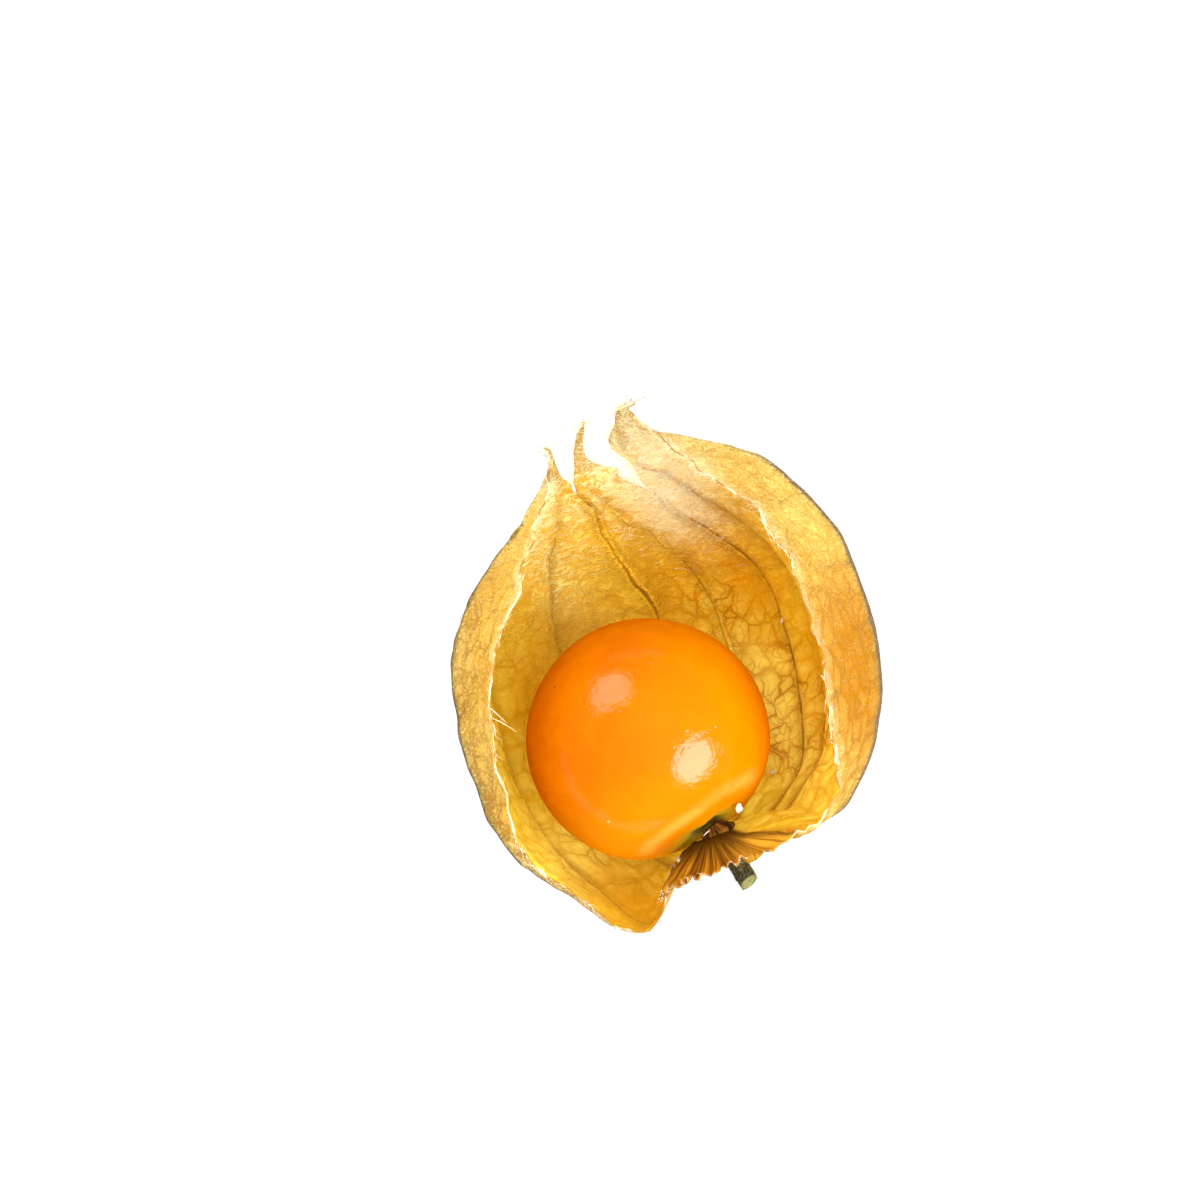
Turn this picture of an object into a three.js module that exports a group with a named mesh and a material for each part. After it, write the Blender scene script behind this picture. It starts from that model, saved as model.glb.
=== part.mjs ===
// A physalis berry (Cape gooseberry, Physalis peruviana) lying on its side in its dry, torn-open husk.
// Millimetres. +Y runs along the husk from the stalk to its tips, +X is its right side seen from
// above, +Z is up. The front wall of the husk is torn away from the stalk to the tips, so the berry
// shows from above. What is left of that wall round the stalk stands up as a small pleated fan.
import * as THREE from "three";
import { mergeVertices } from "three/addons/utils/BufferGeometryUtils.js";

// ---------------------------------------------------------------- driving dimensions
const BERRY_RADIUS = 9.25;
const BERRY_CENTRE = new THREE.Vector3(-2.3, 8.1, 11.6);
const BERRY_STEM_END = new THREE.Vector3(0.254, -0.945, 0.208);   // direction from the centre
const STEM_DIMPLE_DEPTH = 1.85;
const STEM_DIMPLE_SPREAD = 27;                // degrees round the stem end

const HUSK_THICKNESS = 0.6;
const RIB_HEIGHT = 0.35;                      // how far a rib stands out of the wall
const RIB_HALF_WIDTH = 0.55;
const JOINT_HEIGHT = 13.2;                    // where berry, husk and stalk meet, over the floor

const STALK_RADIUS = 0.8;
const STALK_LENGTH = 5.5;
const STALK_START = [0.15, 0.5];              // x and y, just behind the berry's dimple
const STALK_TURN = 14;                        // degrees to the right of straight back
const STALK_PROFILE = [                       // share of the radius, share of the length
  [0.95, 0], [1.0, 0.05], [1.0, 0.17], [0.92, 0.3], [0.9, 0.64], [0.97, 0.83], [0.93, 1],
];

// The husk's body from the stalk to the root of the tips. Each station is a cross-section: its
// share t of the way, y, half width, centre x, half depth, centre z.
const STATIONS = [
  [0.000, -0.3, 1.6, 0.0, 1.6, JOINT_HEIGHT],
  [0.060, -1.4, 3.5, 0.1, 3.4, 13.1],
  [0.120, -2.5, 6.2, 0.2, 6.0, 13.0],
  [0.165, -2.9, 8.2, 0.1, 7.7, 12.9],
  [0.200, -2.6, 9.6, -0.2, 9.2, 12.8],
  [0.270, -0.5, 11.7, -0.3, 11.1, 12.6],
  [0.335, 2.4, 13.6, -0.2, 12.3, 12.5],
  [0.430, 6.7, 15.2, 0.1, 12.9, 12.4],
  [0.520, 11.0, 15.7, 0.5, 12.9, 12.4],
  [0.635, 16.5, 15.4, 0.8, 12.6, 12.3],
  [0.745, 21.3, 13.4, 1.4, 10.8, 12.1],
  [0.810, 23.7, 11.6, 1.9, 9.1, 12.0],
  [0.885, 26.1, 9.0, 2.6, 6.9, 11.8],
  [1.000, 28.4, 5.8, 2.2, 4.3, 11.4],
];
const LOWER_HALF_POWER = 0.77;                // under 1: the half that lies below is fuller
const WIDEST_PANEL = 50;                      // degrees: a wider panel is drawn in no more
const FOLD_DEPTH = 0.1;                       // the seam between the first two tips folds inwards
const FOLD_RIB = 4;
const FOLD_SPREAD = 0.22;
const SHOULDER_DROP = 2.65;                   // the lower left shoulder bulges back past the stalk
const SHOULDER_ANGLE = 208;
const SHOULDER_T = 0.16;
const SHOULDER_SPREAD = 0.05;
const SHOULDER_NEAR_SPREAD = 26;              // degrees, towards the floor

// Angles in a cross-section are in degrees: 0 right, 90 up, 180 left, 270 down on the floor.
const RIB_ANGLES = [178, 215, 248, 271.5, 284, 303, 314, 360];
const LATE_PULL = [0, 20, 27.5, 35.5, 16, -11, 0, 0];  // how far a rib turns left, near the tips
const EVEN_PULL = [0, 0, 0, 0, 16, 42, 32, 0];         // and from the husk's middle on
const PULL_START = 0.6;
const PULL_POWER = 2.1;
// How much less far back the base reaches than its station, by angle: its floor side is flat.
const BASE_LIFT = [
  [75, 0], [215, 0], [240, 0.6], [262, 1.8], [290, 2.5], [315, 2.4], [340, 1.6], [360, 1.1],
  [385, 1.0], [405, 0.8], [420, 0.3], [435, 0],
];
const TORN_LEFT = [
  [0.12, 215], [0.145, 212], [0.165, 200], [0.20, 188], [0.27, 186], [0.335, 172], [0.43, 158],
  [0.52, 153], [0.635, 144.5], [0.745, 136], [0.81, 138], [0.885, 148], [1.0, 165],
];
const TORN_RIGHT = [
  [0.12, 75], [0.165, 50], [0.20, 35], [0.27, 31], [0.335, 37], [0.43, 42], [0.52, 43],
  [0.635, 43.5], [0.745, 43.5], [0.81, 49], [0.885, 53], [0.93, 49], [1.0, 38],
];
const TEAR_JAG = [0.035, 0.02];               // how far in the torn edges swing, in panels

// The pleated fan, by angle: how far out its torn edge is.
const FAN_START = 0.12;
const FAN_EDGE = [
  [75, 0.12], [90, 0.125], [105, 0.128], [120, 0.122], [135, 0.125], [150, 0.132], [156, 0.10],
  [163, 0.05], [190, 0.045], [205, 0.085], [215, 0.12],
];
const FAN_PLEATS = 15;
const WALL_PLEATS = 5;                        // the fan's pleats go on in the top of the right wall
const WALL_PLEATS_END = 0.27;
const PLEAT_HEIGHT = 0.22;
const FAN_JAG = 0.06;

// The three tips. A tip spans ribs from..to, and its middle runs from the body over bend to apex and
// then turns by hook. Its left and right edges stand out beside its root by edges, and its end is a
// horn of that half width.
const TIPS = [
  {
    from: 0, middle: 3, to: 4, bend: [-2.15, 29.9, 9.0], apex: [-2.3, 31.9, 10.0],
    taper: 2.2, edges: [0.15, -0.25], horn: 0.25, hook: [-0.4, -0.05, 0],
  },
  {
    from: 4, middle: 5, to: 6, bend: [-0.95, 30.2, 7.6], apex: [1.0, 32.6, 9.0],
    taper: 2.8, edges: [0, 0], horn: 0.24, hook: [0, 0, 0],
  },
  {
    from: 6, middle: 7, to: 9, bend: [2.9, 31.4, 8.5], apex: [4.2, 33.3, 11.6],
    taper: 1.35, edges: [3.6, 0.35], horn: 0.35, hook: [0.9, -0.7, 0.4],
  },
];
const TIP_EDGE_PLACE = 0.2;                   // share of a tip's length where its edges stand out most
const TIP_EDGE_SPREAD = 0.25;
const TIP_HOOK_START = 0.78;
const TIP_END = 0.93;                         // a tip is cut blunt just short of its apex
const TIP_END_HALF_WIDTH = 0.3;
const SLITS = [                               // half widths in panels, on the slit's left and right
  { rib: 4, start: 0.93, halfWidths: [0.22, 0.22] },
  { rib: 6, start: 0.845, halfWidths: [0.1, 0.5] },
];
const SLIT_START_HALF_WIDTH = 0.035;
const SLIT_POWER = 1.3;

// Resolution
const RING_ROWS = 4;
const BODY_ROWS = 25;
const TIP_ROWS = 8;
const PANEL_STEPS = [0.12, 0.32, 0.5, 0.68, 0.88];
const LAST_PANEL = 8;
const BERRY_RINGS = 20;
const BERRY_SIDES = 30;
const STALK_SIDES = 16;

// ---------------------------------------------------------------- small helpers
const radians = THREE.MathUtils.degToRad;

function smooth(x, low, high) {
  return THREE.MathUtils.smoothstep(x, low, high);
}

// A monotone cubic curve through [x, y] points, held level beyond its ends.
function curveThrough(points) {
  const xs = points.map((p) => p[0]);
  const ys = points.map((p) => p[1]);
  const steps = xs.slice(1).map((x, i) => x - xs[i]);
  const slopes = steps.map((step, i) => (ys[i + 1] - ys[i]) / step);
  const tangents = ys.map((_, i) => {
    if (i === 0) return slopes[0];
    if (i === ys.length - 1) return slopes[i - 1];
    if (slopes[i - 1] * slopes[i] <= 0) return 0;
    const w1 = 2 * steps[i] + steps[i - 1];
    const w2 = steps[i] + 2 * steps[i - 1];
    return (w1 + w2) / (w1 / slopes[i - 1] + w2 / slopes[i]);
  });
  return (x) => {
    let k = 0;
    while (k < steps.length - 1 && x > xs[k + 1]) k += 1;
    const u = THREE.MathUtils.clamp((x - xs[k]) / steps[k], 0, 1);
    const v = 1 - u;
    return (1 + 2 * u) * v * v * ys[k] + u * v * v * steps[k] * tangents[k]
      + u * u * (3 - 2 * u) * ys[k + 1] - u * u * v * steps[k] * tangents[k + 1];
  };
}

// A bell from 1 in the middle to nothing on both sides.
function bell(x, middle, spread) {
  return Math.exp(-(((x - middle) / spread) ** 2));
}

function geometryFrom(points, triangles) {
  const geometry = new THREE.BufferGeometry();
  const coordinates = points.flatMap((point) => point.toArray());
  geometry.setAttribute("position", new THREE.Float32BufferAttribute(coordinates, 3));
  geometry.setIndex(triangles.flat());
  return geometry;
}

// ---------------------------------------------------------------- the husk's surface
const [sectionY, halfWidth, centreX, halfDepth, centreZ] = [1, 2, 3, 4, 5].map(
  (column) => curveThrough(STATIONS.map((station) => [station[0], station[column]])),
);
const tornLeft = curveThrough(TORN_LEFT);
const tornRight = curveThrough(TORN_RIGHT);
const fanEdge = curveThrough(FAN_EDGE);
const baseLift = curveThrough(BASE_LIFT);

// A point of the body at share t and an angle, pulled in by a share of the radius.
function bodyPoint(t, angle, pulledIn) {
  const c = Math.cos(radians(angle));
  const s = Math.sin(radians(angle));
  const power = s < 0 ? 1 + (LOWER_HALF_POWER - 1) * smooth(t, 0.15, 0.33) : 1;
  const scale = 1 - pulledIn;
  const facing = angle < SHOULDER_ANGLE
    ? Math.max(0, Math.cos(radians(angle - SHOULDER_ANGLE))) ** 1.5
    : bell(angle, SHOULDER_ANGLE, SHOULDER_NEAR_SPREAD);
  const drop = SHOULDER_DROP * facing * bell(t, SHOULDER_T, SHOULDER_SPREAD);
  const lift = baseLift(angle) * smooth(t, 0.02, 0.13) * (1 - smooth(t, 0.2, 0.36));
  return new THREE.Vector3(
    centreX(t) + halfWidth(t) * scale * Math.sign(c) * Math.abs(c) ** power,
    sectionY(t) - drop + lift,
    centreZ(t) + halfDepth(t) * scale * Math.sign(s) * Math.abs(s) ** power,
  );
}

// The angles of the torn left edge, the eight ribs and the torn right edge, at share t.
function ribAngles(t) {
  const late = THREE.MathUtils.clamp((t - PULL_START) / (1 - PULL_START), 0, 1) ** PULL_POWER;
  const even = smooth(t, PULL_START, 1);
  const ribs = RIB_ANGLES.map((angle, i) => angle - LATE_PULL[i] * late - EVEN_PULL[i] * even);
  const left = tornLeft(t);
  ribs[0] = Math.max(ribs[0] - 4 * smooth(t, 0.8, 1), left + 6);
  ribs[1] = Math.max(ribs[1], ribs[0] + 10);
  return [left, ...ribs, tornRight(t) + 360];
}

// A point of the wall. Its place q counts ribs: 0 is the torn left edge, 1 to 8 are the ribs and 9 is
// the torn right edge. Between ribs the wall is drawn in, and each rib stands out as a ridge.
function wallPoint(q, t) {
  const angles = ribAngles(t);
  const panel = Math.min(Math.floor(q), LAST_PANEL);
  const panelAngle = angles[panel + 1] - angles[panel];
  const angle = angles[panel] + panelAngle * (q - panel);
  const grown = smooth(t, 0.1, 0.3);
  const sag = 0.03 + 0.5 * (1 - Math.cos(radians(Math.min(panelAngle, WIDEST_PANEL) / 2)));
  let pulledIn = sag * Math.abs(Math.sin(Math.PI * q)) ** 0.9 * grown;
  const folded = smooth(t, 0.5, 0.72) * (1 - 0.7 * smooth(t, 0.85, 1));
  pulledIn += FOLD_DEPTH * bell(q, FOLD_RIB, FOLD_SPREAD) * folded;
  const nearest = Math.round(q);
  if (nearest > 0 && nearest < 9) {
    const away = Math.abs(q - nearest) * radians(panelAngle) * halfWidth(t);
    pulledIn -= RIB_HEIGHT / halfWidth(t) * bell(away, 0, RIB_HALF_WIDTH) * grown;
  }
  return bodyPoint(t, angle, pulledIn);
}

// A point of the fan, at an angle and a share v from the stalk to its torn edge.
function fanPoint(angle, v, side) {
  const reach = fanEdge(angle) * (1 + FAN_JAG * side * v * v);
  const point = bodyPoint(v * reach, angle, 0);
  point.y += PLEAT_HEIGHT * side * smooth(v, 0.1, 0.7);
  return point;
}

// How strong the pleats are in the last panel: they start where the fan's do and die out down the wall.
function pleatShare(t, acrossPanel) {
  const along = smooth(t, 0.012, 0.084) * (1 - smooth(t, FAN_START, WALL_PLEATS_END));
  return along * smooth(acrossPanel, 0.2, 0.5);
}

// A point of a tip, at place q and a share s from the body to the apex. The tip flattens as it narrows.
function tipPoint(tip, q, s) {
  const root = wallPoint(tip.middle, 1);
  const bend = new THREE.Vector3(...tip.bend);
  const apex = new THREE.Vector3(...tip.apex);
  const middle = new THREE.QuadraticBezierCurve3(root, bend, apex).getPoint(s);
  middle.addScaledVector(new THREE.Vector3(...tip.hook), smooth(s, TIP_HOOK_START, 1));
  const along = apex.clone().sub(root).normalize();
  const across = wallPoint(tip.to, 1).sub(wallPoint(tip.from, 1));
  across.addScaledVector(along, -across.dot(along)).normalize();
  const up = new THREE.Vector3().crossVectors(across, along);
  const offset = wallPoint(q, 1).sub(root);
  offset.addScaledVector(up, -offset.dot(up) * smooth(s, 0, 0.6));
  const place = 2 * (q - tip.from) / (tip.to - tip.from) - 1;
  const horn = tip.horn * smooth(s, 0.25, 0.6) * (1 - smooth(s, 0.82, 1));
  const end = TIP_END_HALF_WIDTH * smooth(s, 0.3, 1);
  const edge = tip.edges[place < 0 ? 0 : 1] * Math.abs(place) * smooth(s, 0, 0.1);
  const width = place * (horn + end + edge * bell(s, TIP_EDGE_PLACE, TIP_EDGE_SPREAD));
  return {
    point: middle.addScaledVector(offset, (1 - s) ** tip.taper).addScaledVector(across, width),
    normal: up.clone().negate(),
  };
}

// ---------------------------------------------------------------- the husk as a thick sheet
// The sheet is a grid of columns round the husk and rows from the stalk to the tips.
function wallColumns() {
  const columns = [];
  for (let panel = 0; panel < 9; panel += 1) {
    const slit = SLITS.find((one) => one.rib === panel);
    if (slit) {
      columns.push({ q: panel, side: -1, slit });
      columns.push({ q: panel, side: 1, slit });
    } else {
      columns.push({ q: panel, side: 0 });
    }
    if (panel < LAST_PANEL) {
      PANEL_STEPS.forEach((step) => columns.push({ q: panel + step, side: 0 }));
    }
  }
  for (let k = 1; k <= 2 * WALL_PLEATS; k += 1) {
    columns.push({ q: LAST_PANEL + k / (2 * WALL_PLEATS), side: 0, pleat: k % 2 ? 1 : -1 });
  }
  return columns;
}

function tipOf(column) {
  return TIPS.find((tip) => {
    const afterStart = column.q > tip.from || (column.q === tip.from && column.side >= 0);
    const beforeEnd = column.q < tip.to || (column.q === tip.to && column.side <= 0);
    return afterStart && beforeEnd;
  });
}

// The place of a column at share t. The columns on both sides of a slit make room for it.
function placeInPanels(column, t) {
  const slit = SLITS.find((one) => Math.abs(column.q - one.rib) < 1);
  if (!slit) return column.q;
  const away = column.q - slit.rib;
  const side = column.side || Math.sign(away);
  const open = smooth(t, slit.start, 1) ** SLIT_POWER;
  const halfWidth = slit.halfWidths[side < 0 ? 0 : 1];
  const edge = THREE.MathUtils.lerp(SLIT_START_HALF_WIDTH, halfWidth, open);
  return slit.rib + side * (edge + Math.abs(away) * (1 - edge));
}

function bodyShares() {
  const ring = Array.from({ length: RING_ROWS + 1 }, (_, j) => FAN_START * j / RING_ROWS);
  const rest = 1 - FAN_START;
  const body = Array.from({ length: BODY_ROWS }, (_, j) => FAN_START + rest * (j + 1) / BODY_ROWS);
  return [...ring, ...body];
}

function huskSheet() {
  const shares = bodyShares();
  const points = [];
  const tipNormals = new Map();
  const columns = wallColumns();
  const rowCount = shares.length + TIP_ROWS;
  columns.forEach((column) => {
    shares.forEach((t, j) => {
      let q = placeInPanels(column, t);
      if (t > FAN_START && column.q === 0) q += TEAR_JAG[0] * (1 + Math.sin(2.1 * j) + (j % 2));
      if (t > FAN_START && column.q === 9) q -= TEAR_JAG[1] * (1 + Math.sin(1.7 * j) + (j % 2));
      const point = wallPoint(q, t);
      if (column.pleat) point.y += PLEAT_HEIGHT * column.pleat * pleatShare(t, q - LAST_PANEL);
      points.push(point);
    });
    const tip = tipOf(column);
    for (let k = 1; k <= TIP_ROWS; k += 1) {
      const s = TIP_END * k / TIP_ROWS;
      const { point, normal } = tipPoint(tip, placeInPanels(column, 1), s);
      tipNormals.set(points.length, { normal, share: smooth(s, 0, 0.5) });
      points.push(point);
    }
  });
  const at = (i, j) => i * rowCount + j;
  const cells = [];
  for (let i = 0; i < columns.length - 1; i += 1) {
    const slit = columns[i].side === -1 ? columns[i].slit : null;
    for (let j = 0; j < rowCount - 1; j += 1) {
      const share = j < shares.length ? shares[j] : 1;
      if (slit && share >= slit.start) continue;
      cells.push([at(i, j), at(i, j + 1), at(i + 1, j + 1), at(i + 1, j)]);
    }
  }
  // The fan's columns close the ring from the torn right edge over the top to the torn left edge.
  const fanColumns = 2 * FAN_PLEATS;
  let before = Array.from({ length: RING_ROWS + 1 }, (_, j) => at(columns.length - 1, j));
  for (let i = 1; i <= fanColumns; i += 1) {
    const angle = THREE.MathUtils.lerp(FAN_EDGE[0][0], FAN_EDGE.at(-1)[0], i / fanColumns);
    const here = [];
    for (let j = 0; j <= RING_ROWS; j += 1) {
      if (i === fanColumns) {
        here.push(at(0, j));
      } else {
        here.push(points.length);
        points.push(fanPoint(angle, j / RING_ROWS, i % 2 ? 1 : -1));
      }
    }
    for (let j = 0; j < RING_ROWS; j += 1) {
      cells.push([before[j], before[j + 1], here[j + 1], here[j]]);
    }
    before = here;
  }
  return { points, cells, tipNormals };
}

// Both faces of the sheet are split into the same triangles, and its open edges are closed.
function thickSheet({ points, cells, tipNormals }, thickness) {
  const half = thickness / 2;
  points.forEach((point) => {
    point.z = Math.max(point.z, half);
  });
  const triangles = cells.flatMap(([a, b, c, d]) => {
    const straight = points[a].distanceTo(points[c]) <= points[b].distanceTo(points[d]);
    return straight ? [[a, b, c], [a, c, d]] : [[a, b, d], [b, c, d]];
  });
  const normals = points.map(() => new THREE.Vector3());
  triangles.forEach(([a, b, c]) => {
    const first = points[b].clone().sub(points[a]);
    const cross = first.cross(points[c].clone().sub(points[a]));
    [a, b, c].forEach((corner) => normals[corner].add(cross));
  });
  normals.forEach((normal, i) => {
    normal.normalize();
    const tip = tipNormals.get(i);
    if (tip) normal.lerp(tip.normal, tip.share).normalize();
  });
  const outer = points.map((point, i) => {
    const moved = point.clone().addScaledVector(normals[i], half);
    moved.z = point.z <= half ? 0 : Math.max(moved.z, 0);
    return moved;
  });
  const inner = points.map((point, i) => point.clone().addScaledVector(normals[i], -half));
  const count = points.length;
  const faces = [];
  const edges = new Map();
  triangles.forEach(([a, b, c]) => {
    faces.push([a, b, c]);
    faces.push([a + count, c + count, b + count]);
    [[a, b], [b, c], [c, a]].forEach(([start, end]) => {
      if (!edges.delete(`${end},${start}`)) edges.set(`${start},${end}`, [start, end]);
    });
  });
  edges.forEach(([start, end]) => {
    faces.push([end, start, start + count]);
    faces.push([end, start + count, end + count]);
  });
  return geometryFrom([...outer, ...inner], faces);
}

function huskGeometry() {
  return mergeVertices(thickSheet(huskSheet(), HUSK_THICKNESS).toNonIndexed(), 1e-4);
}

// ---------------------------------------------------------------- berry and stalk
function berryGeometry() {
  const geometry = new THREE.SphereGeometry(1, BERRY_SIDES, BERRY_RINGS);
  geometry.deleteAttribute("normal");
  geometry.deleteAttribute("uv");
  const position = geometry.getAttribute("position");
  const point = new THREE.Vector3();
  for (let i = 0; i < position.count; i += 1) {
    point.fromBufferAttribute(position, i);
    const fromStem = THREE.MathUtils.radToDeg(Math.acos(THREE.MathUtils.clamp(point.y, -1, 1)));
    const dimple = STEM_DIMPLE_DEPTH * bell(fromStem, 0, STEM_DIMPLE_SPREAD);
    point.multiplyScalar(BERRY_RADIUS - dimple);
    position.setXYZ(i, point.x, point.y, point.z);
  }
  return mergeVertices(geometry, 1e-4);
}

function stalkGeometry() {
  const profile = [[0, 0], ...STALK_PROFILE, [0, 1]].map(
    ([radius, along]) => new THREE.Vector2(radius * STALK_RADIUS, along * STALK_LENGTH),
  );
  const geometry = new THREE.LatheGeometry(profile, STALK_SIDES);
  geometry.deleteAttribute("normal");
  geometry.deleteAttribute("uv");
  return mergeVertices(geometry, 1e-4);
}

// ---------------------------------------------------------------- the physalis
function piece(name, geometry, color, roughness) {
  const material = new THREE.MeshStandardMaterial({ color, roughness, metalness: 0 });
  const mesh = new THREE.Mesh(geometry, material);
  mesh.name = name;
  return mesh;
}

const physalis = new THREE.Group();

const husk = piece("husk", huskGeometry(), 0xdfae4c, 0.75);
husk.material.side = THREE.DoubleSide;
physalis.add(husk);

const up = new THREE.Vector3(0, 1, 0);
const berry = piece("berry", berryGeometry(), 0xfb9006, 0.25);
berry.position.copy(BERRY_CENTRE);
berry.quaternion.setFromUnitVectors(up, BERRY_STEM_END.clone().normalize());
physalis.add(berry);

const stalk = piece("stalk", stalkGeometry(), 0x5a4d28, 0.9);
stalk.position.set(...STALK_START, JOINT_HEIGHT);
const back = new THREE.Vector3(Math.sin(radians(STALK_TURN)), -Math.cos(radians(STALK_TURN)), 0);
stalk.quaternion.setFromUnitVectors(up, back);
physalis.add(stalk);

// The origin is the middle of the bounding box, on the floor.
const bounds = new THREE.Box3().setFromObject(physalis, true);
const middle = bounds.getCenter(new THREE.Vector3());
physalis.position.set(-middle.x, -middle.y, -bounds.min.z);

export default physalis;
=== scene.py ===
"""A physalis berry in its torn-open husk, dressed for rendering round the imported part.

The forms are worked out in millimetres in the husk's own coordinates: the origin is where berry, husk
and stalk meet in plan, +Y runs to the tips, +X is the right side from above and z = 0 is the floor.
A place on the wall is (q, t): q counts ribs, 0 the torn left edge, 1 to 8 the ribs, 9 the torn right
edge, and t is the share of the way from the stalk to the root of the tips.
"""
import math

import bpy
import numpy as np
from mathutils import Matrix, Vector


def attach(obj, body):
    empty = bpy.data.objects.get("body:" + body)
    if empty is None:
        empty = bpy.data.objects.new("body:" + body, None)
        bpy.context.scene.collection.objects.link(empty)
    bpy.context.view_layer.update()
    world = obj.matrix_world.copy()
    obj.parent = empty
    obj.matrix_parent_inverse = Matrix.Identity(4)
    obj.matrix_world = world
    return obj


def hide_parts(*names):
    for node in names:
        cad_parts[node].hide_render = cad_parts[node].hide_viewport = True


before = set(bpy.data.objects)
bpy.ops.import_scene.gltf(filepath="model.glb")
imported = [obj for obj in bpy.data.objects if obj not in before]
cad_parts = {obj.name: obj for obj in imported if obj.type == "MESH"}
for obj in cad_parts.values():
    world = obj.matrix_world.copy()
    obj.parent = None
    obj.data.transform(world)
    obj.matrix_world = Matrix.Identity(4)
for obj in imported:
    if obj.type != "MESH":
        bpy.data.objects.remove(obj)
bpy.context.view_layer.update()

MM = 0.001
ROW_ORIGIN = np.array([0.519, 13.5446, 0.0])  # the row's origin in the husk's own coordinates

# -------- the forms, as in the part's source
BERRY_RADIUS = 9.25
BERRY_CENTRE = np.array([-2.3, 8.1, 11.6])
BERRY_STEM_END = np.array([0.254, -0.945, 0.208])
STEM_DIMPLE = ((1.05, 27.0), (0.7, 11.0))     # depths and spreads in degrees, as deep as the solid's
JOINT_HEIGHT = 13.2
RIB_HEIGHT = 0.35
RIB_HALF_WIDTH = 0.55
STALK_RADIUS = 0.8
STALK_LENGTH = 5.5
STALK_START = np.array([0.15, 0.5, JOINT_HEIGHT])
STALK_TURN = math.radians(14)

# share t of the way from stalk to tips, y, half width, centre x, half depth, centre z
STATIONS = np.array([
    (0.000, -0.3, 1.6, 0.0, 1.6, JOINT_HEIGHT),
    (0.060, -1.4, 3.5, 0.1, 3.4, 13.1),
    (0.120, -2.5, 6.2, 0.2, 6.0, 13.0),
    (0.165, -2.9, 8.2, 0.1, 7.7, 12.9),
    (0.200, -2.6, 9.6, -0.2, 9.2, 12.8),
    (0.270, -0.5, 11.7, -0.3, 11.1, 12.6),
    (0.335, 2.4, 13.6, -0.2, 12.3, 12.5),
    (0.430, 6.7, 15.2, 0.1, 12.9, 12.4),
    (0.520, 11.0, 15.7, 0.5, 12.9, 12.4),
    (0.635, 16.5, 15.4, 0.8, 12.6, 12.3),
    (0.745, 21.3, 13.4, 1.4, 10.8, 12.1),
    (0.810, 23.7, 11.6, 1.9, 9.1, 12.0),
    (0.885, 26.1, 9.0, 2.6, 6.9, 11.8),
    (1.000, 28.4, 5.8, 2.2, 4.3, 11.4),
])
LOWER_HALF_POWER = 0.77
WIDEST_PANEL = 50.0
FOLD_DEPTH = 0.1
SHOULDER_DROP = 2.65
SHOULDER_ANGLE = 208.0
SHOULDER_T = 0.16
SHOULDER_SPREAD = 0.05
SHOULDER_NEAR_SPREAD = 26.0                   # degrees, on the side of the floor
BASE_LIFT = (
    (75, 0), (215, 0), (240, 0.6), (262, 1.8), (290, 2.5), (315, 2.4), (340, 1.6), (360, 1.1),
    (385, 1.0), (405, 0.8), (420, 0.3), (435, 0),
)
RIB_ANGLES = (178, 215, 248, 271.5, 284, 303, 314, 360)
LATE_PULL = (0, 20, 27.5, 35.5, 16, -11, 0, 0)
EVEN_PULL = (0, 0, 0, 0, 16, 42, 32, 0)
PULL_START = 0.6
PULL_POWER = 2.1
TORN_LEFT = (
    (0.12, 215), (0.145, 212), (0.165, 200), (0.20, 188), (0.27, 186), (0.335, 172), (0.43, 158),
    (0.52, 153), (0.635, 144.5), (0.745, 136), (0.81, 138), (0.885, 148), (1.0, 165),
)
TORN_RIGHT = (
    (0.12, 75), (0.165, 50), (0.20, 35), (0.27, 31), (0.335, 37), (0.43, 42), (0.52, 43),
    (0.635, 43.5), (0.745, 43.5), (0.81, 49), (0.885, 53), (0.93, 49), (1.0, 38),
)
FAN_START = 0.12
FAN_EDGE = (
    (75, 0.12), (90, 0.125), (105, 0.128), (120, 0.122), (135, 0.125), (150, 0.132), (156, 0.10),
    (163, 0.05), (190, 0.045), (205, 0.085), (215, 0.12),
)
LAST_PANEL = 8
RIGHT_EDGE = 9
WALL_PLEATS_END = 0.27
# each tip: its columns, the curve of its middle, how it narrows, how far its left and right edges stand
# out beside its root, the half width of its horn, and the shift of its end
TIPS = (
    {"from": 0, "middle": 3, "to": 4, "bend": (-2.15, 29.9, 9.0), "apex": (-2.3, 31.9, 10.0),
     "taper": 2.2, "edges": (0.15, -0.25), "horn": 0.25, "hook": (-0.4, -0.05, 0.0)},
    {"from": 4, "middle": 5, "to": 6, "bend": (-0.95, 30.2, 7.6), "apex": (1.0, 32.6, 9.0),
     "taper": 2.8, "edges": (0.0, 0.0), "horn": 0.24, "hook": (0.0, 0.0, 0.0)},
    {"from": 6, "middle": 7, "to": 9, "bend": (2.9, 31.4, 8.5), "apex": (4.2, 33.3, 11.6),
     "taper": 1.35, "edges": (3.6, 0.35), "horn": 0.35, "hook": (0.9, -0.7, 0.4)},
)
EDGE_PLACE = 0.2                              # share of a tip's length where its edges stand out most
EDGE_SPREAD = 0.25
HOOK_START = 0.78

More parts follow.
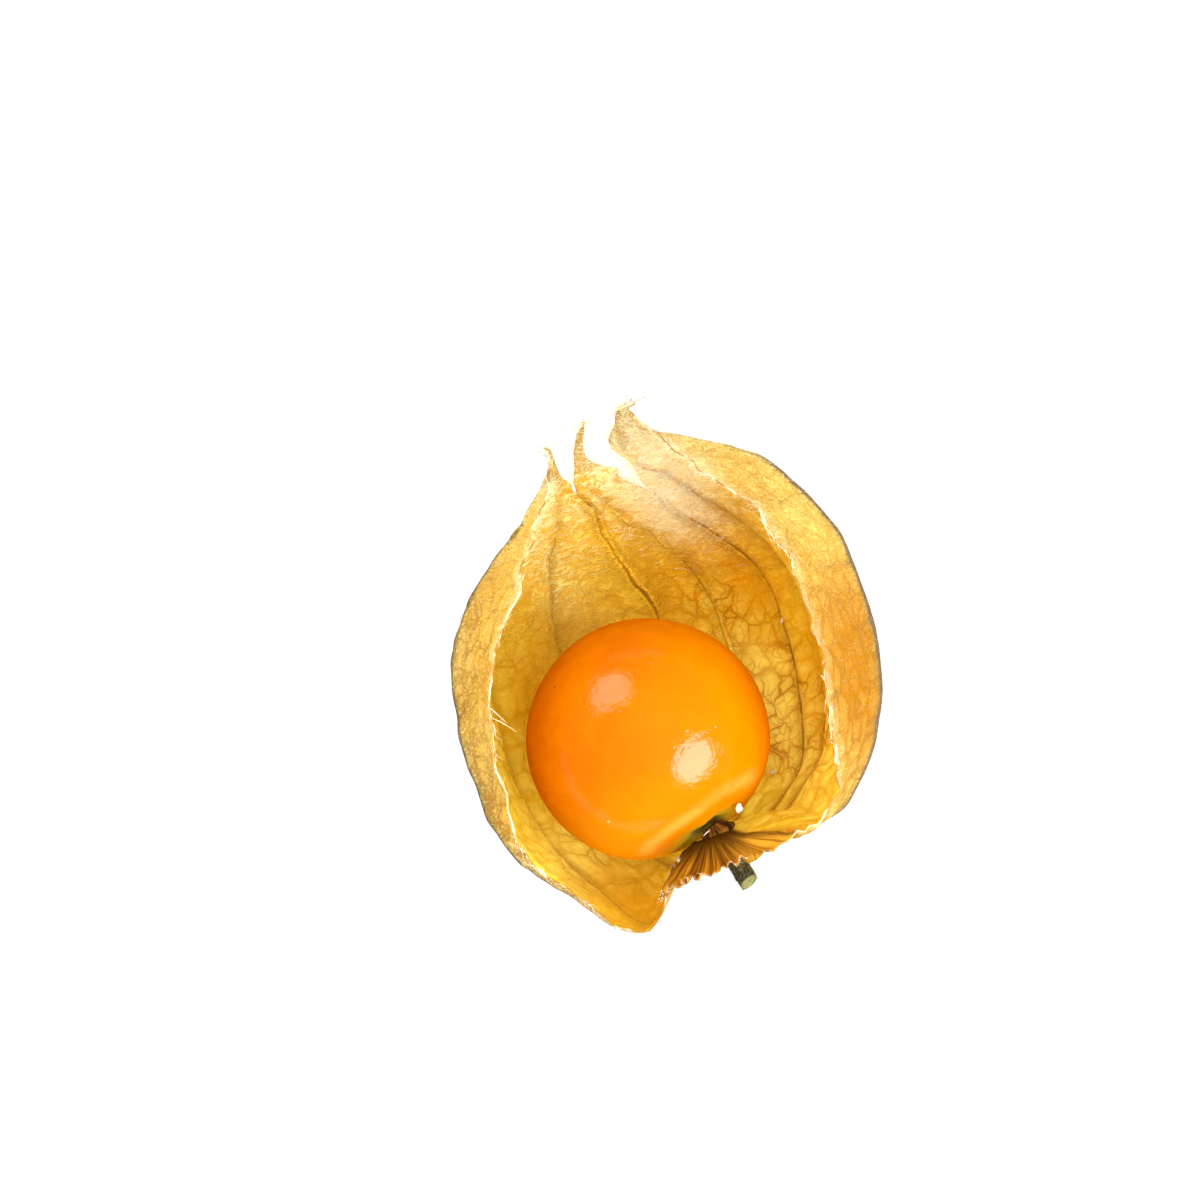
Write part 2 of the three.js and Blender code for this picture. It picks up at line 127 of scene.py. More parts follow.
# -------- finer than the solids
SHEET_HALF = 0.05                             # half the skin's thickness
FLOOR_CLEARANCE = 0.02
SLIT_START_HALF_WIDTH = 0.012
SEAM_RIB, FOLD_RIB = 4, 6
SLITS = {SEAM_RIB: (0.93, 0.22, 0.22), FOLD_RIB: (0.845, 0.1, 0.5)}   # start, half widths in panels at t = 1
SEAM_HOLE = (0.905, 0.94)                     # a small hole in the seam, below the slit
PANEL_COLUMNS = (24, 28, 26, 20, 12, 15, 11, 34, 44)
RIB_COLUMNS = (0.16, 0.34, 0.55)              # extra columns beside a rib, in mm at the husk's middle
COLUMN_GAP = 0.3                              # and how far the next column is from them
HUSK_RADIUS = 15.5
WALL_ENDS = (150, 405)                        # the torn edges' angles at the husk's middle
RING_ROWS = 22
BODY_ROWS = 118
TIP_ROWS = 26
TIP_END = 0.985
TIP_END_HALF_WIDTH = 0.08
HUSK_LENGTH = 44                              # mm of wall from t = 0 to 1
FAN_LENGTH = 52                               # mm of fan over the same range
PANEL_APART, FAN_APART = 17.3, 91.0           # steps that keep the parts' vein patterns apart
# an edge's shift inwards, then sizes in panels and lengths in mm of the raggedness on it
LEFT_JAGS = (0.03, (0.030, 2.3), (0.020, 0.8), (0.012, 0.35))
RIGHT_JAGS = (0.02, (0.022, 2.9), (0.014, 0.9), (0.009, 0.35))
FAN_COLUMNS = 168
FAN_PLEAT_ANGLE = 7.5                         # degrees from one pleat to the next
FAN_PLEAT_HEIGHT = 0.2
FAR = 9.0                                     # mm, stands for nowhere near
# how many hairs of each kind
VELVET_HAIRS, DOWN_HAIRS, SILK_FIBRES, FUZZ_HAIRS = 8500, 6000, 9500, 900
TIP_FIBRES, TORN_FIBRES, RIM_FIBRES = 240, 330, 260
# the stalk's collar, neck and end: mm along it, share of the radius
STALK_PROFILE = (
    (0, 0.95), (0.3, 1.2), (0.75, 1.75), (0.95, 1.7), (1.2, 1.1), (1.6, 0.92), (3.5, 0.88), (4.6, 0.95),
    (5.5, 0.92),
)
STALK_CUT = ((0.92, 0.0), (0.6, 0.05), (0.3, 0.12), (0.0, 0.14))   # the hollow cut: share out, depth
# place, size and strength of the dark marks on the berry
BERRY_MARKS = (((-7.7, 14.3, 15.9), 0.16, 0.9), ((-5.4, 16.1, 14.9), 0.14, 0.35),
               ((1.2, 0.6, 12.9), 0.2, 0.5))
# x, y, z (None: on the husk), half length, half width, turn
# white flecks of dried fluff; the third, thin one by the collar and the fourth, long one on the wall are
# painted highlights for glints
WHITE_SPECKS_AND_GLINTS = (
    (2.5, 1.15, 15.3, 0.34, 0.24, 60), (6.0, 2.35, None, 0.22, 0.16, 20), (-0.4, 0.15, 14.6, 0.34, 0.04, 25),
    (10.7, 13.5, None, 0.5, 0.14, 60), (0.95, 18.7, None, 0.5, 0.12, 105),
)
# x, y of the root, direction and length of each loose fibre
LOOSE_FIBRES = ((-13.2, 13.5, (1.0, -0.8, 0.5), 1.9), (-12.8, 14.6, (0.7, -1.0, 0.6), 1.5))
# x, y, size along and across, turn in degrees, strength
STAINS = {
    "laced": ((8.3, 8.0, 8.5, 3.8, 100, 1.0), (6.0, 15.5, 4.5, 3.2, 120, 0.9),
              (-9.0, -1.0, 6.0, 3.5, 130, 0.35)),
    "silver": ((5.2, 26.3, 4.2, 2.4, 120, 1.0),),
    "pale": ((-4.9, 21.8, 5.0, 2.4, 100, 1.0), (14.2, 20.5, 7.0, 2.6, 113, 0.8),
             (-10.7, 0.7, 4.0, 2.0, 120, 0.5), (7.85, 7.0, 6.0, 2.4, 100, 0.8)),
    # painted shade: on the low lip, beside the seam, and on the wall next to the berry where the berry shades
    # it
    "painted_shade": ((-6.9, -3.7, 5.0, 2.2, 140, 1.0), (2.3, 19.3, 4.5, 1.0, 100, 0.8),
              (-5.6, 17.4, 5.0, 1.5, 20, 0.55), (-9.4, 13.4, 3.8, 1.7, 80, 0.45)),
    "warm": ((8.8, 17.9, 6.0, 3.4, 110, 1.0), (-9.5, 13.0, 5.0, 2.6, 80, 0.6),
             (4.8, 19.4, 3.6, 2.4, 60, 0.9), (14.2, 8.0, 10.5, 4.2, 78, 1.0)),
}


# -------- helpers
def smooth(x, low, high):
    u = np.clip((x - low) / (high - low), 0, 1)
    return u * u * (3 - 2 * u)


def bell(x, spread=1.0):
    return np.exp(-((x / spread) ** 2))


def unit(vectors):
    return vectors / np.maximum(np.linalg.norm(vectors, axis=-1, keepdims=True), 1e-12)


def turned(u, v, degrees):
    """A point of the plane, turned about the origin."""
    c, s = math.cos(math.radians(degrees)), math.sin(math.radians(degrees))
    return u * c - v * s, u * s + v * c


def curve_through(points):
    """A monotone cubic curve through (x, y) points, held level beyond its ends."""
    xs, ys = np.asarray(points, float).T
    steps = np.diff(xs)
    slopes = np.diff(ys) / steps
    tangents = np.zeros_like(ys)
    tangents[0], tangents[-1] = slopes[0], slopes[-1]
    for i in range(1, len(xs) - 1):
        if slopes[i - 1] * slopes[i] > 0:
            w1 = 2 * steps[i] + steps[i - 1]
            w2 = steps[i] + 2 * steps[i - 1]
            tangents[i] = (w1 + w2) / (w1 / slopes[i - 1] + w2 / slopes[i])

    def value(x):
        x = np.asarray(x, float)
        k = np.clip(np.searchsorted(xs, x, side="left") - 1, 0, len(steps) - 1)
        u = np.clip((x - xs[k]) / steps[k], 0, 1)
        v = 1 - u
        return ((1 + 2 * u) * v * v * ys[k] + u * v * v * steps[k] * tangents[k]
                + u * u * (3 - 2 * u) * ys[k + 1] - u * u * v * steps[k] * tangents[k + 1])

    return value


def lattice_noise(x, seed, period=1.0):
    """Smooth 1D value noise in -1..1."""
    values = np.random.default_rng(seed).uniform(-1, 1, 512)
    u = np.asarray(x, float) / period + 100
    k = np.floor(u).astype(int)
    f = smooth(u - k, 0, 1)
    return values[k % 512] * (1 - f) + values[(k + 1) % 512] * f


def noise3(points, size, seed):
    """Smooth 3D value noise in -1..1 with cells of the given size."""
    table = np.random.default_rng(seed).uniform(-1, 1, (32, 32, 32))
    u = points / size + 64
    k = np.floor(u).astype(int)
    f = smooth(u - k, 0, 1)
    total = 0
    for corner in np.ndindex(2, 2, 2):
        weight = np.where(corner, f, 1 - f)
        x, y, z = np.moveaxis((k + corner) % 32, -1, 0)
        total = total + weight[..., 0] * weight[..., 1] * weight[..., 2] * table[x, y, z]
    return total


def new_object(name, points, faces, attributes=None):
    """A smooth mesh object from points in the husk's own millimetres."""
    mesh = bpy.data.meshes.new(name)
    mesh.from_pydata(((points - ROW_ORIGIN) * MM).tolist(), [], faces)
    for key, values in (attributes or {}).items():
        values = np.asarray(values, np.float32)
        kind, field = ("FLOAT_VECTOR", "vector") if values.ndim == 2 else ("FLOAT", "value")
        mesh.attributes.new(key, kind, "POINT").data.foreach_set(field, values.ravel())
    mesh.polygons.foreach_set("use_smooth", [True] * len(mesh.polygons))
    mesh.update()
    return link(name, mesh)


def link(name, data):
    thing = bpy.data.objects.new(name, data)
    bpy.context.scene.collection.objects.link(thing)
    return thing


def ball(sides, rings):
    """Directions all over a ball, the poles last, and the faces between them."""
    phi = np.linspace(0, math.pi, rings + 1)[1:-1]
    turn = np.linspace(0, 2 * math.pi, sides, endpoint=False)
    directions = np.stack([np.outer(np.sin(phi), np.cos(turn)), np.outer(np.sin(phi), np.sin(turn)),
                           np.outer(np.cos(phi), np.ones(sides))], -1).reshape(-1, 3)
    faces = strip_faces(rings - 2, sides)
    top = len(directions)
    for k in range(sides):
        after = (k + 1) % sides
        faces += [(top, k, after), (top + 1, top - sides + after, top - sides + k)]
    return np.vstack([directions, [[0, 0, 1], [0, 0, -1]]]), faces


def strip_faces(strips, sides):
    """The faces between closed rings of vertices that follow each other."""
    pairs = [(i * sides + k, i * sides + (k + 1) % sides) for i in range(strips) for k in range(sides)]
    return [(a, a + sides, b + sides, b) for a, b in pairs]


# -------- the husk's surface
section_y, half_width, centre_x, half_depth, centre_z = (
    curve_through(STATIONS[:, (0, column)]) for column in range(1, 6))
torn_left, torn_right = curve_through(TORN_LEFT), curve_through(TORN_RIGHT)
fan_edge, base_lift = curve_through(FAN_EDGE), curve_through(BASE_LIFT)


def body_point(t, angle, pulled_in):
    c = np.cos(np.radians(angle))
    s = np.sin(np.radians(angle))
    power = np.where(s < 0, 1 + (LOWER_HALF_POWER - 1) * smooth(t, 0.15, 0.33), 1)
    scale = 1 - pulled_in
    away = angle - SHOULDER_ANGLE
    facing = np.where(away < 0, np.maximum(0, np.cos(np.radians(away))) ** 1.5,
                      bell(away, SHOULDER_NEAR_SPREAD))
    drop = SHOULDER_DROP * facing * bell(t - SHOULDER_T, SHOULDER_SPREAD)
    drop = drop - base_lift(angle) * smooth(t, 0.02, 0.13) * (1 - smooth(t, 0.2, 0.36))
    x = centre_x(t) + half_width(t) * scale * np.sign(c) * np.abs(c) ** power
    y = section_y(t) - drop
    z = centre_z(t) + half_depth(t) * scale * np.sign(s) * np.abs(s) ** power
    return np.stack(np.broadcast_arrays(x, y, z), -1)


def rib_angles(t):
    """The angles of the torn left edge, the ribs and the torn right edge."""
    late = np.clip((t - PULL_START) / (1 - PULL_START), 0, 1) ** PULL_POWER
    even = smooth(t, PULL_START, 1)
    ribs = [angle - LATE_PULL[i] * late - EVEN_PULL[i] * even for i, angle in enumerate(RIB_ANGLES)]
    left = torn_left(t)
    ribs[0] = np.maximum(ribs[0] - 4 * smooth(t, 0.8, 1), left + 6)
    ribs[1] = np.maximum(ribs[1], ribs[0] + 10)
    return np.stack([left] + ribs + [torn_right(t) + 360])


def wall_angle(q, t):
    """The angle of a place on the wall, and the angle that its panel takes up."""
    q, t = np.broadcast_arrays(np.asarray(q, float), np.asarray(t, float))
    angles = rib_angles(t)
    panel = np.clip(np.floor(q).astype(int), 0, LAST_PANEL)
    before = np.take_along_axis(angles, panel[None], 0)[0]
    width = np.take_along_axis(angles, panel[None] + 1, 0)[0] - before
    return before + width * (q - panel), width


def wall_point(q, t):
    angle, panel_angle = wall_angle(q, t)
    grown = smooth(t, 0.1, 0.3)
    sag = 0.03 + 0.5 * (1 - np.cos(np.radians(np.minimum(panel_angle, WIDEST_PANEL) / 2)))
    pulled_in = sag * np.abs(np.sin(np.pi * q)) ** 0.9 * grown
    pulled_in = pulled_in + (FOLD_DEPTH * bell(q - SEAM_RIB, 0.22) * smooth(t, 0.5, 0.72)
                             * (1 - 0.7 * smooth(t, 0.85, 1)))
    nearest = np.round(q)
    ribbed = (nearest > 0) & (nearest < RIGHT_EDGE)
    away = np.abs(q - nearest) * np.radians(panel_angle) * half_width(t)
    ridge = RIB_HEIGHT / half_width(t) * bell(away, RIB_HALF_WIDTH) * grown
    return body_point(t, angle, pulled_in - ridge * ribbed)


def tip_points(tip, q, s):
    """Points of one tip for places q (columns) and shares s (rows) from the body to the apex."""
    root, left, right = (wall_point(tip[key], 1.0) for key in ("middle", "from", "to"))
    bend, apex = np.array(tip["bend"]), np.array(tip["apex"])
    s = s[None, :, None]
    middle = (1 - s) ** 2 * root + 2 * s * (1 - s) * bend + s * s * apex
    middle = middle + np.array(tip["hook"]) * smooth(s, HOOK_START, 1)
    along = unit(apex - root)
    across = unit((right - left) - (right - left) @ along * along)
    up = np.cross(across, along)
    offset = (wall_point(q, 1.0) - root)[:, None, :]
    offset = offset - (offset @ up)[..., None] * up * smooth(s, 0, 0.6)
    place = (2 * (q - tip["from"]) / (tip["to"] - tip["from"]) - 1)[:, None, None]
    edges = np.where(place < 0, *tip["edges"]) * place * np.abs(place)
    stand_out = edges * bell(s - EDGE_PLACE, EDGE_SPREAD) * smooth(s, 0, 0.1)
    horn = tip["horn"] * place * smooth(s, 0.25, 0.6) * (1 - smooth(s, 0.82, 1))
    width_end = horn + TIP_END_HALF_WIDTH * place * smooth(s, 0.3, 1) + stand_out
    return middle + offset * (1 - s) ** tip["taper"] + across * width_end, -up


# -------- the husk as a fine grid
def wall_columns():
    """Columns of the grid: their place q, and the side of a slit that each is on (-1, 0, 1)."""
    ends = (WALL_ENDS[0], *RIB_ANGLES, WALL_ENDS[1])
    columns = []
    for panel, count in enumerate(PANEL_COLUMNS):
        width = math.radians(ends[panel + 1] - ends[panel]) * HUSK_RADIUS
        near = [d / width for d in RIB_COLUMNS]
        room = near[-1] + COLUMN_GAP / width
        steps = [step for step in np.linspace(0, 1, count + 1)[1:-1] if room < step < 1 - room]
        columns += [(panel, side) for side in ((-1, 1) if panel in SLITS else (0,))]
        columns += [(panel + step, 0) for step in near + steps + [1 - d for d in near[::-1]]]
    return np.array(columns + [(RIGHT_EDGE, 0)]).T


def jags(t, seed, inwards, *waves):
    ragged = sum(size * lattice_noise(t * HUSK_LENGTH, seed + k, length)
                 for k, (size, length) in enumerate(waves))
    return (ragged + inwards) * smooth(t, FAN_START, FAN_START + 0.02)


def husk_grid():
    base, side = wall_columns()
    ring, body = np.linspace(0, FAN_START, RING_ROWS + 1), np.linspace(FAN_START, 1, BODY_ROWS + 1)
    t = np.concatenate([ring, body[1:]])
    q = np.repeat(base[:, None], len(t), 1)
    for rib, (start, before, after) in SLITS.items():
        ragged = 0.014 * lattice_noise(t, rib, 0.006) * smooth(t, start - 0.01, start + 0.03)
        for sign, half in ((-1, before), (1, after)):
            opened = SLIT_START_HALF_WIDTH + (half - SLIT_START_HALF_WIDTH) * smooth(t, start, 1) ** 1.3
            if rib == SEAM_RIB:
                opened = opened + 0.035 * bell(t - np.mean(SEAM_HOLE), 0.016)
            opened = np.maximum(opened + sign * ragged, SLIT_START_HALF_WIDTH)
            q[(base == rib) & (side == sign)] = rib + sign * opened
            # the columns next to a slit make room for it
            away = (base - rib) * sign
            near = (away > 0) & (away < 1)
            q[near] = rib + sign * (opened + away[near, None] * (1 - opened))
    # torn edges: ragged at several scales, dying out into the panel
    first, last = base < 1, base > LAST_PANEL
    q[first] += jags(t, 11, *LEFT_JAGS) * ((1 - base[first]) ** 4)[:, None]
    q[last] -= jags(t, 21, *RIGHT_JAGS) * ((base[last] - LAST_PANEL) ** 5)[:, None]
    points = wall_point(q, t)
    strength = smooth(t, 0.012, 0.084) * (1 - smooth(t, FAN_START, WALL_PLEATS_END))
    strength = strength * smooth(q[last] - LAST_PANEL, 0.1, 0.5)
    points[last, :, 1] += pleat_height(wall_angle(q[last], t)[0]) * strength
    return base, side, t, q, points


def pleat_height(angle):
    wave = np.sin(np.radians(angle) * 360 / FAN_PLEAT_ANGLE + 3.2 * lattice_noise(angle, 31, 11))
    wave = wave + 0.45 * lattice_noise(angle, 32, 2.1) + 0.6 * lattice_noise(angle, 34, 17)
    return FAN_PLEAT_HEIGHT * wave * (1 + 0.5 * lattice_noise(angle, 33, 13))


def cells_between(a, b):
    """The four-sided cells between two columns of vertices."""
    return np.stack([a[:-1], a[1:], b[1:], b[:-1]], 1)


def lengths_along(grid, axis):
    """How far each vertex is along its row or column, in millimetres."""
    steps = np.linalg.norm(np.diff(grid, axis=axis), axis=2)
    return np.insert(np.cumsum(steps, axis), 0, 0, axis)


def build_husk():
    """The middle of the skin: points, cells, attributes for the pattern, the tips' normals, columns."""
    base, side, t, q, body = husk_grid()
    s = TIP_END * np.linspace(0, 1, TIP_ROWS + 1)[1:]
    n, rows = len(base), len(t) + TIP_ROWS
    grid = np.zeros((n, rows, 3))
    grid[:, :len(t)] = body
    tip_normal = np.zeros((n, 1, 3))
    for tip in TIPS:
        inside = ((base > tip["from"]) | ((base == tip["from"]) & (side >= 0))) & (
            (base < tip["to"]) | ((base == tip["to"]) & (side <= 0)))
        grid[inside, len(t):], tip_normal[inside, 0] = tip_points(tip, q[inside, -1], s)

    index = np.arange(n * rows).reshape(n, rows)
    share = np.concatenate([t, np.ones(TIP_ROWS)])
    cells = []
    for i in range(n - 1):
        keep = np.ones(rows - 1, bool)
        if side[i] == -1:
            keep &= share[:-1] < SLITS[base[i]][0]
            if base[i] == SEAM_RIB:
                keep &= (share[:-1] < SEAM_HOLE[0]) | (share[:-1] > SEAM_HOLE[1])
        cells.append(cells_between(index[i], index[i + 1])[keep])

    # the fan closes the ring over the top
    start, end = FAN_EDGE[0][0], FAN_EDGE[-1][0]
    angle = np.linspace(start, end, FAN_COLUMNS + 1)[1:-1, None]
    v = np.linspace(0, 1, RING_ROWS + 1)
    ends = smooth(angle, start, start + 5) * (1 - smooth(angle, end - 5, end))
    ragged = 0.05 * lattice_noise(angle, 41, 5.5) + 0.05 * lattice_noise(angle, 42, 1.6)
    reach = fan_edge(angle) * (1 + ragged * ends)
    fan = body_point(v * reach, angle, 0.0)
    fan[..., 1] += pleat_height(angle) * ends * smooth(v, 0.1, 0.7)
    fan_index = index.size + np.arange(angle.size * len(v)).reshape(-1, len(v))
    strips = np.vstack([index[-1:, :len(v)], fan_index, index[:1, :len(v)]])
    cells = np.vstack(cells + [cells_between(a, b) for a, b in zip(strips[:-1], strips[1:])])
    points = np.vstack([grid.reshape(-1, 3), fan.reshape(-1, 3)])

    # attributes for the pattern, in millimetres on the sheet
    run, arc = lengths_along(grid, 0), lengths_along(grid, 1)
    panel = np.clip(np.floor(base + 0.001 * side), 0, LAST_PANEL)
    across, along = np.zeros((2, n, rows))
    for k in range(RIGHT_EDGE):
        which = np.nonzero(panel == k)[0]
        across[which] = run[which] - run[which[0]]
        along[which] = arc[which[len(which) // 2]]
    rib_distance, rib_number = np.full((n, rows), FAR), np.zeros((n, rows))
    for k in range(1, RIGHT_EDGE):
        rib = run[base == k]
        distance = np.maximum(np.abs(run - rib.mean(0)) - (rib[-1] - rib[0]) / 2, 0)
        rib_number = np.where(distance < rib_distance, k, rib_number)
        rib_distance = np.minimum(distance, rib_distance)
    edge_distance = np.where(share < FAN_START, FAR, np.minimum(run, run[-1] - run))
    all_q = np.concatenate([q, np.repeat(q[:, -1:], TIP_ROWS, 1)], 1)
    wall = wall_angle(all_q, share)[0]
    tip_share = np.concatenate([np.zeros(len(t)), s])

    def joined(on_wall, on_fan):
        return np.concatenate([np.broadcast_to(on_wall, (n, rows)).ravel(),
                               np.broadcast_to(on_fan, fan.shape[:2]).ravel()])

    attributes = {
        "net": np.stack([joined(across, angle * 0.1), joined(along, v * 6),
                         joined(panel[:, None] * PANEL_APART, FAN_APART)], -1),
        "rib_distance": joined(rib_distance, FAR),
        "rib_number": joined(rib_number, 0.0),
        "edge_distance": joined(edge_distance, (1 - v) * reach * FAN_LENGTH),
        "fan": joined((1 - smooth(share, 0.13, 0.24)) * smooth(wall, 372, 400), 1.0),
        "angle": joined(wall, angle + 360),
        "tip": joined(tip_share, 0.0),
        "share": joined(share, v * reach),
    }
    for name, spots in STAINS.items():
        attributes[name] = np.zeros(len(points))
        for x, y, size_x, size_y, turn, strength in spots:
            u, w = turned(points[:, 0] - x, points[:, 1] - y, -turn)
            stain = strength * bell(np.hypot(u / size_x, w / size_y))
            attributes[name] = np.maximum(attributes[name], stain)
    forced = np.repeat(tip_normal, rows, 1).reshape(-1, 3)
    return points, cells, attributes, forced, (base, side, rows)


# -------- node trees
class Value:
    """A node's output. Its operators add math nodes, so a formula in a node tree reads as one."""

    def __init__(self, nodes, socket):
        self.nodes, self.socket = nodes, socket

    def __add__(self, other):
        return self.nodes.math("ADD", self, other)

    def __mul__(self, other):
        return self.nodes.math("MULTIPLY", self, other)

    def __sub__(self, other):
        return self.nodes.math("SUBTRACT", self, other)

    def __rsub__(self, other):
        return self.nodes.math("SUBTRACT", other, self)


class Nodes:
    """Short forms for building the same pattern in a shader tree and in a geometry tree."""

    def __init__(self, tree):
        self.tree, self.colour = tree, None

    def node(self, kind, inputs=None, **settings):
        node = self.tree.nodes.new(kind)
        for key, value in settings.items():
            setattr(node, key, value)
        for key, value in (inputs or {}).items():
            if isinstance(value, Value):
                value = value.socket
            if isinstance(value, bpy.types.NodeSocket):
                self.tree.links.new(value, node.inputs[key])
            else:
                node.inputs[key].default_value = value
        return node

    def value(self, output, kind, inputs=None, **settings):
        return Value(self, self.node("ShaderNode" + kind, inputs, **settings).outputs[output])

    def math(self, operation, a, b, c=0.5):
        return self.value(0, "Math", {0: a, 1: b, 2: c}, operation=operation)

    def largest(self, first, *others):
        for other in others:
            first = self.math("MAXIMUM", first, other)
        return first

    def vector(self, operation, a, b=(0, 0, 0)):
        return self.value(0, "VectorMath", {0: a, 1: b}, operation=operation)

    def attribute(self, name, output="Fac"):
        return self.value(output, "Attribute", attribute_name=name)

    def place(self):
        return self.value("Object", "TexCoord")

    def noise(self, place, scale, detail=2, roughness=0.5, output="Fac"):
        inputs = {"Vector": place, "Scale": scale, "Detail": detail, "Roughness": roughness}
        return self.value(output, "TexNoise", inputs, noise_dimensions="3D")

    def wander(self, place, scale, size, detail=2):
        """A shift to and fro that changes slowly from place to place."""
        shift = self.vector("SUBTRACT", self.noise(place, scale, detail, output="Color"), (0.5, 0.5, 0.5))
        return self.value(0, "VectorMath", {0: shift, "Scale": size}, operation="SCALE")

    def ramp(self, value, low, high, to_low=0, to_high=1):
        inputs = {"Value": value, "From Min": low, "From Max": high, "To Min": to_low, "To Max": to_high}
        return self.value(0, "MapRange", inputs, interpolation_type="SMOOTHSTEP")

    def cells(self, place, size):
        """Distance in millimetres to the nearest border of a net with cells of the given size."""
        inputs = {"Vector": place, "Scale": 1 / size, "Randomness": 1}
        kinds = {"voronoi_dimensions": "3D", "feature": "DISTANCE_TO_EDGE"}
        return self.value("Distance", "TexVoronoi", inputs, **kinds) * size

    def dots(self, place, scale, low, high):
        """Round dots scattered in space, and a random number for each."""
        inputs = {"Vector": place, "Scale": scale, "Randomness": 1}
        node = self.node("ShaderNodeTexVoronoi", inputs, voronoi_dimensions="3D", feature="F1")
        random = self.value(0, "SeparateColor", {0: node.outputs["Color"]})
        return self.ramp(node.outputs["Distance"], low, high), random

    def mix(self, factor, a, b):
        a, b = ((*tone, 1) if isinstance(tone, tuple) else tone for tone in (a, b))
        return self.value(2, "Mix", {"Factor": factor, 6: a, 7: b}, data_type="RGBA")

    def paint(self, amount, tone):
        """Lays a tone over the colour so far."""
        self.colour = self.mix(amount, self.colour, tone)

    def bump(self, height, strength, distance, **more):
        inputs = {"Strength": strength, "Distance": distance, "Height": height, **more}
        return self.value(0, "Bump", inputs)

    def skin(self, **inputs):
        inputs = {key.replace("_", " "): value for key, value in inputs.items()}
        return self.value(0, "BsdfPrincipled", inputs)

    def show(self, shader):
        self.node("ShaderNodeOutputMaterial", {"Surface": shader})


def new_material(name):
    material = bpy.data.materials.new(name)
    material.use_nodes = True
    material.node_tree.nodes.clear()
    return material, Nodes(material.node_tree)


# -------- the veins, for relief and for colour
def vein_distances(n, net):
    """Distances in millimetres to the three orders of veins at a point of the sheet."""
    moved = n.vector("ADD", n.vector("ADD", net, n.wander(net, 0.30, 2.2)), n.wander(net, 1.3, 0.55, 1))
    flat = n.vector("MULTIPLY", moved, (1, 0.78, 0))
    placed = n.vector("ADD", flat, n.vector("MULTIPLY", net, (0, 0, 1)))
    crosswise = n.vector("MULTIPLY", placed, (0.6, 1, 1))
    return n.cells(crosswise, 4.2), n.cells(placed, 1.6), n.cells(placed, 0.75)


def vein_relief(points, cells, net):
    """The vein distances at the sheet's vertices, read back from the same nodes as the shader's."""
    tree = bpy.data.node_groups.new("vein_distances", "GeometryNodeTree")
    for way in ("INPUT", "OUTPUT"):
        tree.interface.new_socket("Geometry", in_out=way, socket_type="NodeSocketGeometry")
    nodes = Nodes(tree)
    place = nodes.node("GeometryNodeInputNamedAttribute", {"Name": "net"}, data_type="FLOAT_VECTOR")
    geometry = nodes.node("NodeGroupInput").outputs[0]
    names = ("large", "medium", "small")
    for name, distance in zip(names, vein_distances(nodes, place.outputs[0])):
        store = nodes.node("GeometryNodeStoreNamedAttribute", data_type="FLOAT", domain="POINT")
        store.inputs["Name"].default_value = name
        tree.links.new(geometry, store.inputs["Geometry"])
        tree.links.new(distance.socket, store.inputs["Value"])
        geometry = store.outputs[0]
    nodes.node("NodeGroupOutput", {0: geometry})
    probe = new_object("vein_probe", points, cells.tolist(), {"net": net})
    probe.modifiers.new("veins", "NODES").node_group = tree
    evaluated = probe.evaluated_get(bpy.context.evaluated_depsgraph_get())
    found = np.zeros((3, len(points)), np.float32)
    for name, values in zip(names, found):
        evaluated.data.attributes[name].data.foreach_get("value", values)
    mesh = probe.data
    bpy.data.objects.remove(probe)
    bpy.data.meshes.remove(mesh)
    bpy.data.node_groups.remove(tree)
    return found.astype(float)


# -------- the husk piece
def sheet_normals(points, cells, forced, weight):
    """Normals at the vertices, drawn towards each tip's own normal by its weight."""
    normals = np.zeros_like(points)
    a, b, c, d = (points[cells[:, k]] for k in range(4))
    for k in range(4):
        np.add.at(normals, cells[:, k], np.cross(c - a, d - b))
    normals = unit(normals)
    count = len(forced)
    normals[:count] = unit(normals[:count] * (1 - weight) + forced * weight)
    return normals


def split_cells(points, cells):
    """Two triangles a cell, along its shorter diagonal."""
    a, b, c, d = (points[cells[:, k]] for k in range(4))
    straight = np.linalg.norm(a - c, axis=1) <= np.linalg.norm(b - d, axis=1)
    one = np.where(straight[:, None], cells[:, (0, 1, 2)], cells[:, (0, 1, 3)])
    two = np.where(straight[:, None], cells[:, (0, 2, 3)], cells[:, (1, 2, 3)])
    return np.vstack([one, two])


def open_edges(triangles, count):
    edges = np.vstack([triangles[:, (0, 1)], triangles[:, (1, 2)], triangles[:, (2, 0)]])
    forward, backward = edges @ (count, 1), edges @ (1, count)
    return edges[~np.isin(forward, backward)]


